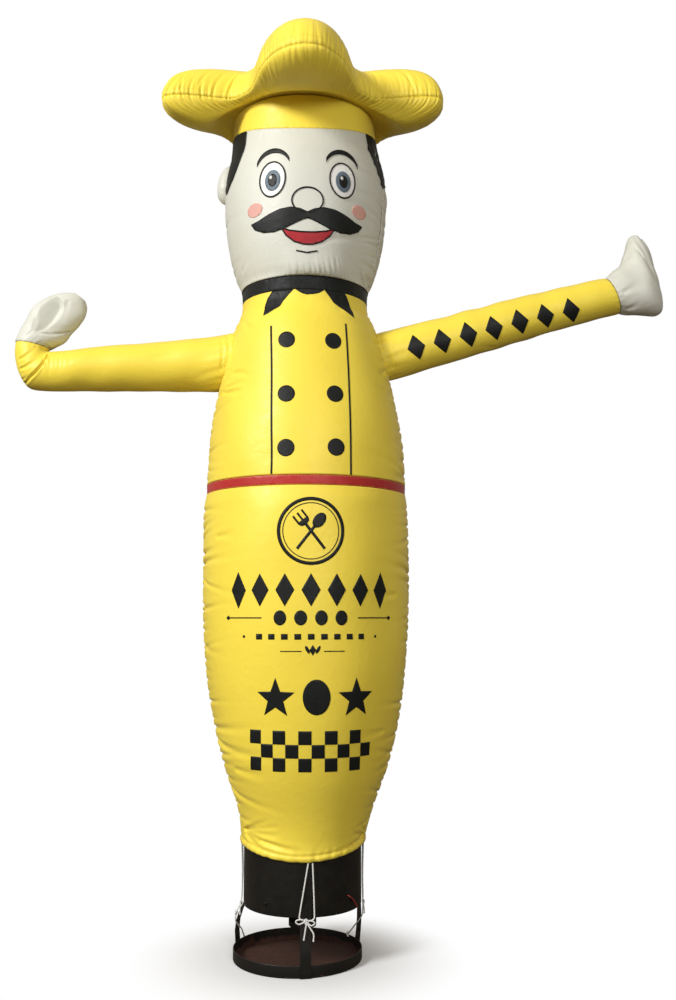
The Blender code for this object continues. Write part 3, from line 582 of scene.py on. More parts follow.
# Girth of the blown-up body from hem to waist: height, radius.
BODY = [
    (0.417, 0.2435), (0.436, 0.2500), (0.465, 0.2500), (0.500, 0.2530), (0.555, 0.2640),
    (0.614, 0.2820), (0.733, 0.3250), (0.852, 0.3580), (0.971, 0.3830), (1.091, 0.4010),
    (1.271, 0.4150), (1.514, 0.4235), (1.698, 0.4235), (1.790, 0.4200), (1.841, 0.4120),
]

# Soft creases of the front panel, from one point to another, as the way round from the front
# middle and the height: from across, from up, to across, to up, half width, depth. All tables of
# creases count in tenths of a millimetre.
CREASE_TICKS = 10000      # so many to a metre
HEM_CREASES = [
    (-2980, 5160, -2530, 5350, 50, 76), (-2980, 5160, -1450, 5690, 60, 85),
    (-2980, 5160, -1010, 5500, 55, 85), (-2980, 5160, -940, 5150, 60, 93),
    (-2980, 5160, -810, 4690, 60, 85), (-1900, 4890, 60, 4550, 55, 102),
    (-2910, 5060, -1680, 4600, 70, 110), (3150, 4870, 1930, 4600, 65, 102),
    (3150, 4870, 1970, 5130, 60, 85), (3150, 5000, 2400, 5450, 55, 59),
    (490, 4300, 450, 4800, 40, 45), (600, 4300, 630, 4850, 40, 50),
    (710, 4300, 820, 4740, 40, 45), (-600, 4300, -660, 4700, 45, 35),
    (-200, 4300, -240, 4620, 40, 30), (1100, 4320, 1200, 4760, 45, 35),
    (1600, 4360, 1800, 4800, 50, 40), (-1150, 4320, -1250, 4700, 45, 35),
    (-3300, 7600, -1500, 7420, 90, 51), (3600, 9050, 1900, 8900, 90, 43),
    (4200, 14300, 3000, 14240, 80, 51), (-4200, 16550, -2900, 16620, 80, 51),
]
# The same for the back, as the way round from the back middle.
BACK_HEM_CREASES = [
    (50, 4300, 120, 4860, 45, 50), (240, 4300, 340, 4740, 40, 40),
    (-300, 4300, -400, 4800, 45, 45), (3000, 5050, 1200, 5480, 60, 85),
    (3000, 5000, 1100, 5000, 60, 85), (-3100, 5000, -1700, 4700, 65, 102),
    (-3100, 5050, -1500, 5400, 60, 85), (3400, 7900, 1700, 7750, 90, 51),
    (-4000, 12500, -2700, 12430, 80, 51),
]
SEAM_DENSITY = 0.45       # how much closer the grid's columns lie at the side seams
BODY_COLUMNS = 140
BODY_ROWS = 290
BACK_COLUMNS = 90         # the plain back needs fewer
BACK_ROWS = 190
CREASE_START = 0.06       # share of its length in which a crease reaches its full depth
CREASE_LIMIT = 0.014      # how deep the creases get where several of them meet


def read_curve(rows, position, column=1):
    """A smooth curve through a table's rows, read at values of the first column."""
    keys = np.array([row[0] for row in rows], dtype=float)
    values = np.array([row[column] for row in rows], dtype=float)
    position = np.clip(position, keys[0], keys[-1])
    step = np.clip(np.searchsorted(keys, position, side="right") - 1, 0, len(keys) - 2)
    places = np.arange(len(keys))
    before = np.maximum(places - 1, 0)
    after = np.minimum(places + 1, len(keys) - 1)
    slopes = (values[after] - values[before]) / (keys[after] - keys[before])
    width = keys[step + 1] - keys[step]
    t = (position - keys[step]) / width
    rise = values[step + 1] - values[step]
    start, end = slopes[step] * width, slopes[step + 1] * width
    curve = t * start + t ** 2 * (3 * rise - 2 * start - end) + t ** 3 * (start + end - 2 * rise)
    return values[step] + curve


def middle_x(z):
    return read_curve(SWAY, z)


def level(z):
    return lambda angle: np.full_like(angle, z)


def hem_edge(angle):
    """The body's lower edge, which is tied down at front and back."""
    return HEM_Z + HEM_DIP * np.cos(2 * angle)


def normals_of(grid, around=False):
    """Outward unit normals of a grid whose columns run anticlockwise and rows run upwards."""
    if around:
        across = np.roll(grid, -1, axis=1) - np.roll(grid, 1, axis=1)
    else:
        across = np.gradient(grid, axis=1)
    along = np.gradient(grid, axis=0)
    normal = np.cross(across, along)
    length = np.linalg.norm(normal, axis=-1, keepdims=True)
    return normal / np.maximum(length, 1e-12)


def creased(across, up, rows):
    """Depth of a table of creases. Each starts sharp and runs out along its length."""
    depth = np.zeros(np.broadcast(across, up).shape)
    for row in rows:
        from_across, from_up, to_across, to_up, width, deep = (n / CREASE_TICKS for n in row)
        run = np.array([to_across - from_across, to_up - from_up])
        length = np.hypot(*run)
        run /= length
        along = ((across - from_across) * run[0] + (up - from_up) * run[1]) / length
        off = ((up - from_up) * run[0] - (across - from_across) * run[1]) / width
        inside = np.clip(along, 0.0, 1.0)
        fade = np.minimum(inside / CREASE_START, 1.0) * (1.0 - inside) ** 0.8
        past = np.maximum(np.abs(along - 0.5) - 0.5, 0.0) * length / width
        spread = 1.0 + 1.2 * inside
        off = off / spread
        depth += deep * fade * (1.0 - 0.6 * off ** 2) * np.exp(-0.5 * off ** 2 - past ** 2)
    return CREASE_LIMIT * np.tanh(depth / CREASE_LIMIT)


def seam_puckers(distance, up, low, high, seed, share=1.0):
    """Depth of the short creases that run from a side seam into the cloth."""
    luck = random.Random(seed)
    depth = np.zeros(np.broadcast(distance, up).shape)
    z = low
    while z < high:
        reach = luck.uniform(0.080, 0.170)
        deep = luck.uniform(0.0042, 0.0095) * share
        if luck.random() < 0.18:
            reach *= 1.4
            deep *= 1.6
        slant = luck.uniform(-0.22, 0.22)
        width = luck.uniform(0.0042, 0.0068) * (1.0 + distance / 0.20)
        off = (up - z - slant * distance) / width
        ridge = np.exp(-0.5 * off ** 2 - (distance / reach) ** 1.8)
        depth += deep * (1.0 - 0.45 * off ** 2) * ridge
        z += luck.uniform(0.026, 0.052)
    depth *= 0.55 + 0.45 * np.clip(distance / 0.04, 0.0, 1.0)
    groove = 0.0022 * np.exp(-(distance / 0.006) ** 2)
    return depth + groove * np.ones_like(up)


def broad_swell(across, up, seed, height, size=0.28):
    """Low uneven swells of cloth under air pressure, from a few long waves."""
    luck = random.Random(seed)
    total = np.zeros(np.broadcast(across, up).shape)
    for _ in range(9):
        turn = luck.uniform(0.0, math.pi)
        pitch = 2 * math.pi / (size * luck.uniform(0.6, 1.6))
        phase = luck.uniform(0.0, 2 * math.pi)
        stretch = 0.45  # the waves are longer upwards, as tension in a tube is
        total += np.sin(pitch * (across * math.cos(turn) + stretch * up * math.sin(turn)) + phase)
    return height * total / 3.0


def girth_grid(rows, low, high, angle, middle, count):
    """Points of a panel or a band on the figure's girth, and what places things on it."""
    angle = angle[None, :]
    climb = np.linspace(0.0, 1.0, count + 1)[:, None]
    z = low(angle) + (high(angle) - low(angle)) * climb
    radius = read_curve(rows, z)
    grid = np.stack([middle_x(z) + radius * np.cos(angle), radius * np.sin(angle), z], axis=-1)
    return {
        "grid": grid, "angle": angle[0], "across": (angle - middle) * radius, "up": z,
        "radius": radius, "low": low, "high": high, "rows": rows, "climb": climb,
    }


def pushed_in(panel, depth, around=False):
    """Press a panel's grid inwards by a depth at each of its points."""
    normal = normals_of(panel["grid"], around)
    panel["grid"] = panel["grid"] - normal * depth[..., None]
    panel["normal"] = normals_of(panel["grid"], around)


def edge_fade(panel, reach_low, reach_high):
    """0 at a panel's lower and upper edges, rising to 1 within a reach in metres."""
    tall = panel["up"][-1:] - panel["up"][:1]
    lower = panel["climb"] * tall / reach_low if reach_low else 1.0 + 0 * panel["climb"] * tall
    upper = (1 - panel["climb"]) * tall / reach_high if reach_high else 1.0 + 0 * lower
    lower, upper = np.clip(lower, 0, 1), np.clip(upper, 0, 1)
    return lower * lower * (3 - 2 * lower) * upper * upper * (3 - 2 * upper)


def cloth_mesh(name, grid, around=False, tip=False, flip=False, keep=None, seam=None):
    """A cloth surface from a grid of points, with a UV map in metres along its threads.

    around joins the last column to the first, tip closes the last row in a point, flip turns the
    faces over, and keep says which faces stay. seam gives each point its way along the nearest
    seam and from it, for a second UV map.
    """
    rows, columns = grid.shape[:2]
    wide = np.concatenate([grid, grid[:, :1]], axis=1) if around else grid
    steps = np.linalg.norm(np.diff(wide, axis=1), axis=-1)
    u = np.concatenate([np.zeros((rows, 1)), np.cumsum(steps, axis=1)], axis=1)
    u -= u[:, -1:] / 2
    climbs = np.linalg.norm(np.diff(wide, axis=0), axis=-1)
    v = np.concatenate([np.zeros((1, wide.shape[1])), np.cumsum(climbs, axis=0)], axis=0)
    i, j = np.meshgrid(np.arange(rows - 1), np.arange(wide.shape[1] - 1), indexing="ij")
    i, j = i.ravel(), j.ravel()
    if keep is not None:
        stays = keep.ravel()
        i, j = i[stays], j[stays]
    corners = [(i, j), (i, j + 1), (i + 1, j + 1), (i + 1, j)]
    faces = np.stack([a * columns + b % columns for a, b in corners], axis=1)
    maps = {"threads": (u, v)}
    if seam is not None:
        maps["seams"] = seam
    spots = {
        key: np.stack([np.stack([one[a, b], other[a, b]], axis=1) for a, b in corners], axis=1)
        for key, (one, other) in maps.items()
    }
    if flip:
        faces = faces[:, ::-1]
        spots = {key: value[:, ::-1] for key, value in spots.items()}
    points = grid.reshape(-1, 3)
    face_list = faces.tolist()
    spots = {key: value.reshape(-1, 2).tolist() for key, value in spots.items()}
    if tip:
        points = np.concatenate([points, grid[-1].mean(axis=0, keepdims=True)])
        pole = len(points) - 1
        last = (rows - 1) * columns
        top = float(v[-1].mean()) + float(np.linalg.norm(grid[-1, 0] - points[-1]))
        for k in range(columns):
            ring = [last + k, last + (k + 1) % columns, pole]
            face_list.append(ring[::-1] if flip else ring)
            for key, (one, other) in maps.items():
                end = top if key == "threads" else float(other[-1, k])
                three = [
                    (float(one[-1, k]), float(other[-1, k])),
                    (float(one[-1, k + 1]), float(other[-1, k + 1])),
                    (float(one[-1, k]), end),
                ]
                spots[key].extend(three[::-1] if flip else three)
    mesh = bpy.data.meshes.new(name)
    mesh.from_pydata(points.tolist(), [], face_list)
    for key, values in spots.items():
        layer = mesh.uv_layers.new(name=key)
        layer.data.foreach_set("uv", np.array(values, dtype=np.float32).ravel())
    if keep is not None:
        shape = bmesh.new()
        shape.from_mesh(mesh)
        loose = [vert for vert in shape.verts if not vert.link_faces]
        bmesh.ops.delete(shape, geom=loose, context="VERTS")
        shape.to_mesh(mesh)
        shape.free()
    mesh.shade_smooth()
    return mesh


def sewn(name, grid, material, slot, node, rests_on, **how):
    made = finished(name, cloth_mesh(name, grid, **how), material, node)
    wall = made.modifiers.new("cloth", "SOLIDIFY")
    wall.thickness = CLOTH
    wall.offset = -1.0
    return made


def crinkled(tree, place, fine):
    """The cloth's crinkles, some 15 mm wide, and their bump over a finer one."""
    crinkle = add_node(tree, "ShaderNodeTexNoise", {
        "Vector": place, "Scale": 34.0, "Detail": 3.0, "Roughness": 0.55, "Distortion": 0.6,
    })
    soft = add_node(tree, "ShaderNodeBump", {
        "Strength": 0.55, "Distance": 0.0022, "Height": crinkle, "Normal": fine,
    })
    return crinkle, soft


def nylon(name, light, dark, rough=0.44, gloss=0.34):
    """Urethane-coated nylon taffeta: a fine plain weave under a thin satin film.

    The threads are 0.3 mm apart, which is drawn at 1.6 mm so that it shows close up. The film
    keeps small crinkles of about 15 mm from packing. Beside a sewn seam the cloth is pulled into
    fine streaks some 16 mm apart, which run out within 120 mm.
    """
    material, tree = new_finish(name)
    place = add_node(tree, "ShaderNodeTexCoord").outputs["Object"]
    threads = add_node(tree, "ShaderNodeUVMap", uv_map="threads").outputs["UV"]
    parts = add_node(tree, "ShaderNodeSeparateXYZ", {"Vector": threads})
    waves = []
    for axis in ("X", "Y"):
        turns = add_node(tree, "ShaderNodeMath", {0: parts.outputs[axis], 1: 2 * math.pi / 0.0016},
                         operation="MULTIPLY")
        waves.append(add_node(tree, "ShaderNodeMath", {0: turns},
                              operation="SINE").outputs["Value"])
    weave = add_node(tree, "ShaderNodeMath", {0: waves[0], 1: waves[1]}, operation="MULTIPLY")
    fine = add_node(tree, "ShaderNodeBump", {"Strength": 0.12, "Distance": 0.0002, "Height": weave})
    crinkle, soft = crinkled(tree, place, fine)
    seam = add_node(tree, "ShaderNodeUVMap", uv_map="seams").outputs["UV"]
    from_seam = add_node(tree, "ShaderNodeSeparateXYZ", {"Vector": seam}).outputs["Y"]
    near = add_node(tree, "ShaderNodeMapRange", {
        "Value": from_seam, "From Max": 0.12, "To Min": 1.0, "To Max": 0.0,
    }, interpolation_type="SMOOTHSTEP")
    drawn = add_node(tree, "ShaderNodeVectorMath", {0: seam, 1: (1 / 0.016, 1 / 0.22, 0.0)},
                     operation="MULTIPLY")
    streak = add_node(tree, "ShaderNodeTexNoise", {"Vector": drawn, "Scale": 1.0, "Detail": 2.0})
    pull = add_node(tree, "ShaderNodeMath", {0: streak, 1: near}, operation="MULTIPLY")
    pulled = add_node(tree, "ShaderNodeBump", {
        "Strength": 0.8, "Distance": 0.0075, "Height": pull, "Normal": soft,
    })
    sheen = add_node(tree, "ShaderNodeMapRange", {
        "Value": crinkle, "From Min": 0.3, "From Max": 0.7, "To Min": rough - 0.05,
        "To Max": rough + 0.07,
    })
    close_finish(tree, {
        "Base Color": mottle(tree, place, 0.35, light, dark), "Roughness": sheen,
        "Specular IOR Level": gloss, "Sheen Weight": 0.08, "Sheen Roughness": 0.5,
        "Normal": pulled,
    })
    return material


yellow_nylon = nylon("yellow_coated_nylon_taffeta", "#F2DB4C", "#EDD345")


def side_panel(rows, low, high, bearings, columns, count, density=SEAM_DENSITY):
    """A front or a back panel between two bearings in degrees, a hair apart at the seams."""
    hair = 0.6 * SEAM_GAP / min(row[1] for row in rows)
    start, end = math.radians(bearings[0]) + hair, math.radians(bearings[1]) - hair
    share = np.linspace(0.0, 1.0, columns + 1)
    share = share - density * np.sin(2 * math.pi * share) / (2 * math.pi)
    angle = start + (end - start) * share
    return girth_grid(rows, low, high, angle, (start + end) / 2, count)


def seam_distance(panel):
    """How far each point lies from the nearer side seam, and whether that is the right one."""
    half_width = np.abs(panel["across"][:, :1])
    distance = np.maximum(half_width - np.abs(panel["across"]), 0.0)
    return distance, panel["across"] > 0


def side_seams(panel):
    """What the streaks of the nylon follow on a panel: the way up, and from the nearer seam."""
    distance, right = seam_distance(panel)
    return panel["up"] + 5.0 * right, distance + 0 * panel["up"]


def pucker_both_seams(panel, low, high, seeds, share=1.0):
    """Puckers of the panel's first and second seam, each from its own seed."""
    distance, right = seam_distance(panel)
    first = seam_puckers(distance, panel["up"], low, high, seeds[0], share)
    second = seam_puckers(distance, panel["up"], low, high, seeds[1], share)
    return np.where(right, second, first)


def panel_swell(panel, seed, height):
    """The panel's broad swells, which die away at its lower and upper edges."""
    return broad_swell(panel["across"], panel["up"], seed, height) * edge_fade(panel, 0.08, 0.08)


def rolled_hem(panel):
    """The turned-up hem: a full round edge with a tucked line above it, unevenly gathered."""
    above = panel["up"] - panel["up"][:1]
    luck = random.Random(41)
    gather = np.zeros_like(panel["across"])
    for _ in range(14):
        pitch = 2 * math.pi / luck.uniform(0.030, 0.075)
        gather += np.sin(pitch * panel["across"] + luck.uniform(0.0, 6.28)) / 14 ** 0.5
    bulge = 0.0024 * np.exp(-((above - 0.010) / 0.008) ** 2)
    tuck = 0.0040 * np.exp(-((above - 0.024) / 0.005) ** 2)
    waves = 0.0013 * gather * np.exp(-(above / 0.035) ** 2)
    return tuck - bulge + waves


STITCH_PITCH = 0.012      # the real stitches are about 3 mm long, too fine to draw
STITCH_LONG = 0.008
THREAD_THICK = 0.0011


def stitch_tree():
    """Geometry Nodes: a row of short stitches along each line of points."""
    tree, sockets, given = open_group("stitches", {
        "Lines": "Geometry", "Pitch": "Float", "Stitch Length": "Float", "Thread Radius": "Float",
        "Finish": "Material",
    })
    run = add_node(tree, "GeometryNodeMeshToCurve", {"Mesh": given["Lines"]})
    places = add_node(tree, "GeometryNodeCurveToPoints", {
        "Curve": run, "Length": given["Pitch"],
    }, mode="LENGTH")
    stitch = add_node(tree, "GeometryNodeMeshCylinder", {
        "Vertices": 6, "Radius": given["Thread Radius"], "Depth": given["Stitch Length"],
    })
    facing = add_node(tree, "FunctionNodeAlignEulerToVector", {
        "Vector": places.outputs["Tangent"],
    }, axis="Z")
    copies = add_node(tree, "GeometryNodeInstanceOnPoints", {
        "Points": places, "Instance": stitch, "Rotation": facing,
    })
    close_group(tree, copies, given["Finish"])
    return tree, sockets


def thread_finish(name, colour):
    """Spun polyester sewing thread: matt, with a faint sheen."""
    material, tree = new_finish(name)
    close_finish(tree, {"Base Color": linear(colour), "Roughness": 0.7, "Sheen Weight": 0.2})
    return material


stitch_group = stitch_tree()


def closed(line):
    return np.concatenate([line, line[:1]])


def stitched(name, lines, thread):
    """Rows of stitches along lines of points on the cloth."""
    mesh = bpy.data.meshes.new(name)
    points, edges = [], []
    for line in lines:
        edges += [(len(points) + i, len(points) + i + 1) for i in range(len(line) - 1)]
        points += [tuple(point) for point in line]
    mesh.from_pydata(points, edges, [])
    finished(name, grown(name, *stitch_group, {
        "Pitch": STITCH_PITCH, "Stitch Length": STITCH_LONG, "Thread Radius": THREAD_THICK / 2,
        "Finish": thread,
    }, mesh), thread)


# The thread is dyed a little deeper than the cloth that it sews.
yellow_thread = thread_finish("yellow_polyester_thread", "#E0C23C")
ivory_thread = thread_finish("ivory_polyester_thread", "#C4C3B6")
black_thread = thread_finish("black_polyester_thread", "#161817")

body = {}
for side, bearings, columns, rows, seeds, table, swell_seed in (
    ("front", (-180, 0), BODY_COLUMNS, BODY_ROWS, (11, 12), HEM_CREASES, 5),
    ("back", (0, 180), BACK_COLUMNS, BACK_ROWS, (12, 11), BACK_HEM_CREASES, 6),
):
    panel = side_panel(BODY, hem_edge, level(WAIST_Z - SEAM_GAP), bearings, columns, rows)
    depth = pucker_both_seams(panel, 0.56, 1.81, seeds) * edge_fade(panel, 0, 0.025)
    depth += creased(panel["across"], panel["up"], table)
    depth += panel_swell(panel, swell_seed, 0.0022)
    depth += rolled_hem(panel)
    pushed_in(panel, depth)
    sewn(f"body_panel_{side}", panel["grid"], yellow_nylon, "yellow_nylon", f"body_lower_{side}",
         ["drum_shell"], seam=side_seams(panel))
    body[side] = panel

grid = body["front"]["grid"]
stitched("body_stitches", [grid[5], grid[2:, 1], grid[2:, -2], body["back"]["grid"][4]],
         yellow_thread)

# ======== print on the body
# Plain black shapes are screen-printed on the front of the body in one pass: a ring with a crossed
# spoon and fork, rows of small marks between rules, two stars beside a disc, and a checked band.

PRINT_PITCH = 0.008       # the size of a print's triangles, small enough to follow the cloth
PRINT_LIFT = 0.0011       # how far the face of the ink is drawn above the cloth
PRINT_THICK = 0.0005
PRINT_MIDDLE = 0.018      # the print's own middle, right of the panel's


def spaced(outline, pitch, closed=True):
    """An outline or an open line with no stretch longer than the pitch."""
    points = []
    for here, onward in zip(outline, outline[1:] + outline[:1] if closed else outline[1:]):
        steps = max(1, math.ceil(math.dist(here, onward) / pitch))
        for i in range(steps):
            share = i / steps
            points.append(tuple(a + (b - a) * share for a, b in zip(here, onward)))
    return points if closed else [*points, outline[-1]]


def filled(outline):
    """Flat points and triangles that fill a closed outline."""
    edge = spaced(outline, PRINT_PITCH)
    low, high = np.min(edge, axis=0), np.max(edge, axis=0)
    lattice = [
        (x, y)
        for x in np.arange(low[0] + PRINT_PITCH / 2, high[0], PRINT_PITCH)
        for y in np.arange(low[1] + PRINT_PITCH / 2, high[1], PRINT_PITCH)
    ]
    points = [Vector(point) for point in edge + lattice]
    found = geometry.delaunay_2d_cdt(points, [], [list(range(len(edge)))], 1, 1e-6)
    used = sorted({index for face in found[2] for index in face})
    place = {index: number for number, index in enumerate(used)}
    return [tuple(found[0][index]) for index in used], [
        tuple(place[index] for index in face) for face in found[2]
    ]


def ribbon(points, width, closed=False):
    """Flat points and faces of a line of even width."""
    line = np.array(spaced(points, PRINT_PITCH, closed))
    if closed:
        way = np.roll(line, -1, axis=0) - np.roll(line, 1, axis=0)
    else:
        way = np.gradient(line, axis=0)
    way /= np.linalg.norm(way, axis=1, keepdims=True)
    off = np.stack([-way[:, 1], way[:, 0]], axis=1) * width / 2
    count = len(line)
    spots = np.concatenate([line - off, line + off])
    faces = [
        (i, (i + 1) % count, count + (i + 1) % count, count + i)
        for i in range(count if closed else count - 1)
    ]
    return [tuple(spot) for spot in spots], faces


def oval(x, y, half_wide, half_tall, turn=0.0, steps=48):
    turn = math.radians(turn)
    points = []
    for i in range(steps):
        angle = 2 * math.pi * i / steps
        a, b = half_wide * math.cos(angle), half_tall * math.sin(angle)
        points.append((x + a * math.cos(turn) - b * math.sin(turn),
                       y + a * math.sin(turn) + b * math.cos(turn)))
    return points


def star(x, y, reach, inner=0.42, tips=5):
    return [
        (x + reach * (1.0 if k % 2 == 0 else inner) * math.sin(math.pi * k / tips),
         y + reach * (1.0 if k % 2 == 0 else inner) * math.cos(math.pi * k / tips))
        for k in range(2 * tips)
    ][::-1]


def lozenge(x, y, half_wide, half_tall):
    return [(x - half_wide, y), (x, y - half_tall), (x + half_wide, y), (x, y + half_tall)]


def oblong(x, y, half_wide, half_tall):
    return [(x - half_wide, y - half_tall), (x + half_wide, y - half_tall),
            (x + half_wide, y + half_tall), (x - half_wide, y + half_tall)]


def turned(points, x, y, degrees):
    """Flat points turned about a point."""
    c, s = math.cos(math.radians(degrees)), math.sin(math.radians(degrees))
    return [(x + (a - x) * c - (b - y) * s, y + (a - x) * s + (b - y) * c) for a, b in points]


def on_panel(panel, lift):
    """A function that places flat points on a panel, with the normal there."""
    def place(points):
        across, z = np.array(points).T
        angle = -math.pi / 2 + across / read_curve(panel["rows"], z)
        column = np.interp(angle, panel["angle"], np.arange(len(panel["angle"])))
        low, high = panel["low"](angle), panel["high"](angle)
        row = np.clip((z - low) / (high - low), 0.0, 1.0) * (len(panel["climb"]) - 1)
        i = np.minimum(row.astype(int), len(panel["climb"]) - 2)
        j = np.minimum(column.astype(int), len(panel["angle"]) - 2)
        up, side = (row - i)[:, None], (column - j)[:, None]

        def read(values):
            lower = values[i, j] * (1 - side) + values[i, j + 1] * side
            upper = values[i + 1, j] * (1 - side) + values[i + 1, j + 1] * side
            return lower * (1 - up) + upper * up

        return read(panel["grid"]) + lift * read(panel["normal"])
    return place


def printed(name, shapes, place, ink):
    """Ink on the cloth: flat shapes, laid on it and given a thickness."""
    points, faces = [], []
    for spots, sides in shapes:
        start = len(points)
        points += spots
        faces += [tuple(start + index for index in face) for face in sides]
    mesh = bpy.data.meshes.new(name)
    mesh.from_pydata(place(points).tolist(), [], faces)
    mesh.shade_smooth()
    made = finished(name, mesh, ink)
    film = made.modifiers.new("film", "SOLIDIFY")
    film.thickness = PRINT_THICK
    film.offset = -1.0
    return made


def ink_finish(name, light, dark, rough=0.5):
    """Screen-print ink: an even film, satin, that takes the fine weave below it."""
    material, tree = new_finish(name)
    spot = add_node(tree, "ShaderNodeTexCoord").outputs["Object"]
    weave = add_node(tree, "ShaderNodeTexNoise", {"Vector": spot, "Scale": 600.0, "Detail": 1.0})
    fine = add_node(tree, "ShaderNodeBump", {"Strength": 0.2, "Distance": 0.0003, "Height": weave})
    close_finish(tree, {
        "Base Color": mottle(tree, spot, 0.05, light, dark), "Roughness": rough,
        "Specular IOR Level": 0.22, "Normal": crinkled(tree, spot, fine)[1].outputs["Normal"],
    })
    return material


# Black plastisol ink, very slightly green where it lies thin over the yellow.
black_ink = ink_finish("black_print_ink", "#191C1A", "#141715")
mid = PRINT_MIDDLE
shapes = [
    ribbon(oval(mid, 1.665, 0.122, 0.122, steps=120), 0.013, closed=True),
    ribbon(oval(mid, 1.665, 0.106, 0.106, steps=100), 0.0035, closed=True),
]
# The fork leans left and the spoon right, and each is a few plain shapes turned together.
fork = [
    oblong(mid, 1.640, 0.0055, 0.060),
    [(mid - 0.024, 1.712), (mid - 0.018, 1.700), (mid, 1.694), (mid + 0.018, 1.700),
     (mid + 0.024, 1.712), (mid + 0.024, 1.718), (mid - 0.024, 1.718)],
    *[oblong(mid + step, 1.733, 0.0038, 0.017) for step in (-0.0202, 0.0, 0.0202)],
]
spoon = [oblong(mid, 1.635, 0.0055, 0.056), oval(mid, 1.716, 0.022, 0.032)]
for tool, lean in ((fork, 38.0), (spoon, -38.0)):
    shapes += [filled(turned(part, mid, 1.665, lean)) for part in tool]
for k in range(7):
    x = mid + 0.0985 * (k - 3)
    tall = 0.070 if k in (0, 6) else 0.062
    shapes.append(filled(lozenge(x, 1.444, 0.036, tall)))
for k in range(4):
    shapes.append(filled(oval(mid + 0.078 * (k - 1.5), 1.340, 0.024, 0.028)))
for start, end in ((-0.330, -0.172), (0.204, 0.362)):
    shapes.append(ribbon([(start, 1.340), (end, 1.340)], 0.0045))
for x in (-0.332, 0.364):
    shapes.append(filled(lozenge(x, 1.340, 0.012, 0.009)))
for k in range(9):
    shapes.append(filled(oblong(mid + 0.050 * (k - 4), 1.270, 0.0125, 0.0105)))
for x in (-0.250, 0.286):
    shapes.append(filled(oval(x, 1.270, 0.0055, 0.0055, steps=16)))
shapes.append(filled(lozenge(mid + 0.006, 1.220, 0.013, 0.020)))
for side in (-1, 1):
    shapes.append(filled(turned(oval(mid + 0.006 + side * 0.020, 1.222, 0.006, 0.016, steps=24),
                                mid + 0.006 + side * 0.020, 1.222, -side * 28.0)))
    shapes.append(ribbon([(mid + 0.006 + side * 0.042, 1.216), (mid + 0.006 + side * 0.122, 1.216)],
                         0.0035))
for x in (-0.118, 0.194):
    shapes.append(filled(star(x, 1.040, 0.078)))
shapes.append(filled(oval(0.038, 1.046, 0.052, 0.066)))
for row in range(3):
    for k in range(10):
        if (row + k) % 2 == 0:
            shapes.append(filled(oblong(-0.204 + 0.0495 * k, 0.792 + 0.0515 * row, 0.0247, 0.0257)))
printed("body_print", shapes, on_panel(body["front"], PRINT_LIFT), black_ink)

# ======== ties
# Lengths of braided white polyester cord are sewn to the hem in pairs. Each pair is drawn down over
# the drum and knotted round a leg, and its loose ends hang below the knot.

CORD_DIAMETER = 0.0056
TUBE_SIDES = 14
KNOT_RADIUS = 0.0048
KNOT_SWING = 0.0029
KNOT_CORD = 0.0026
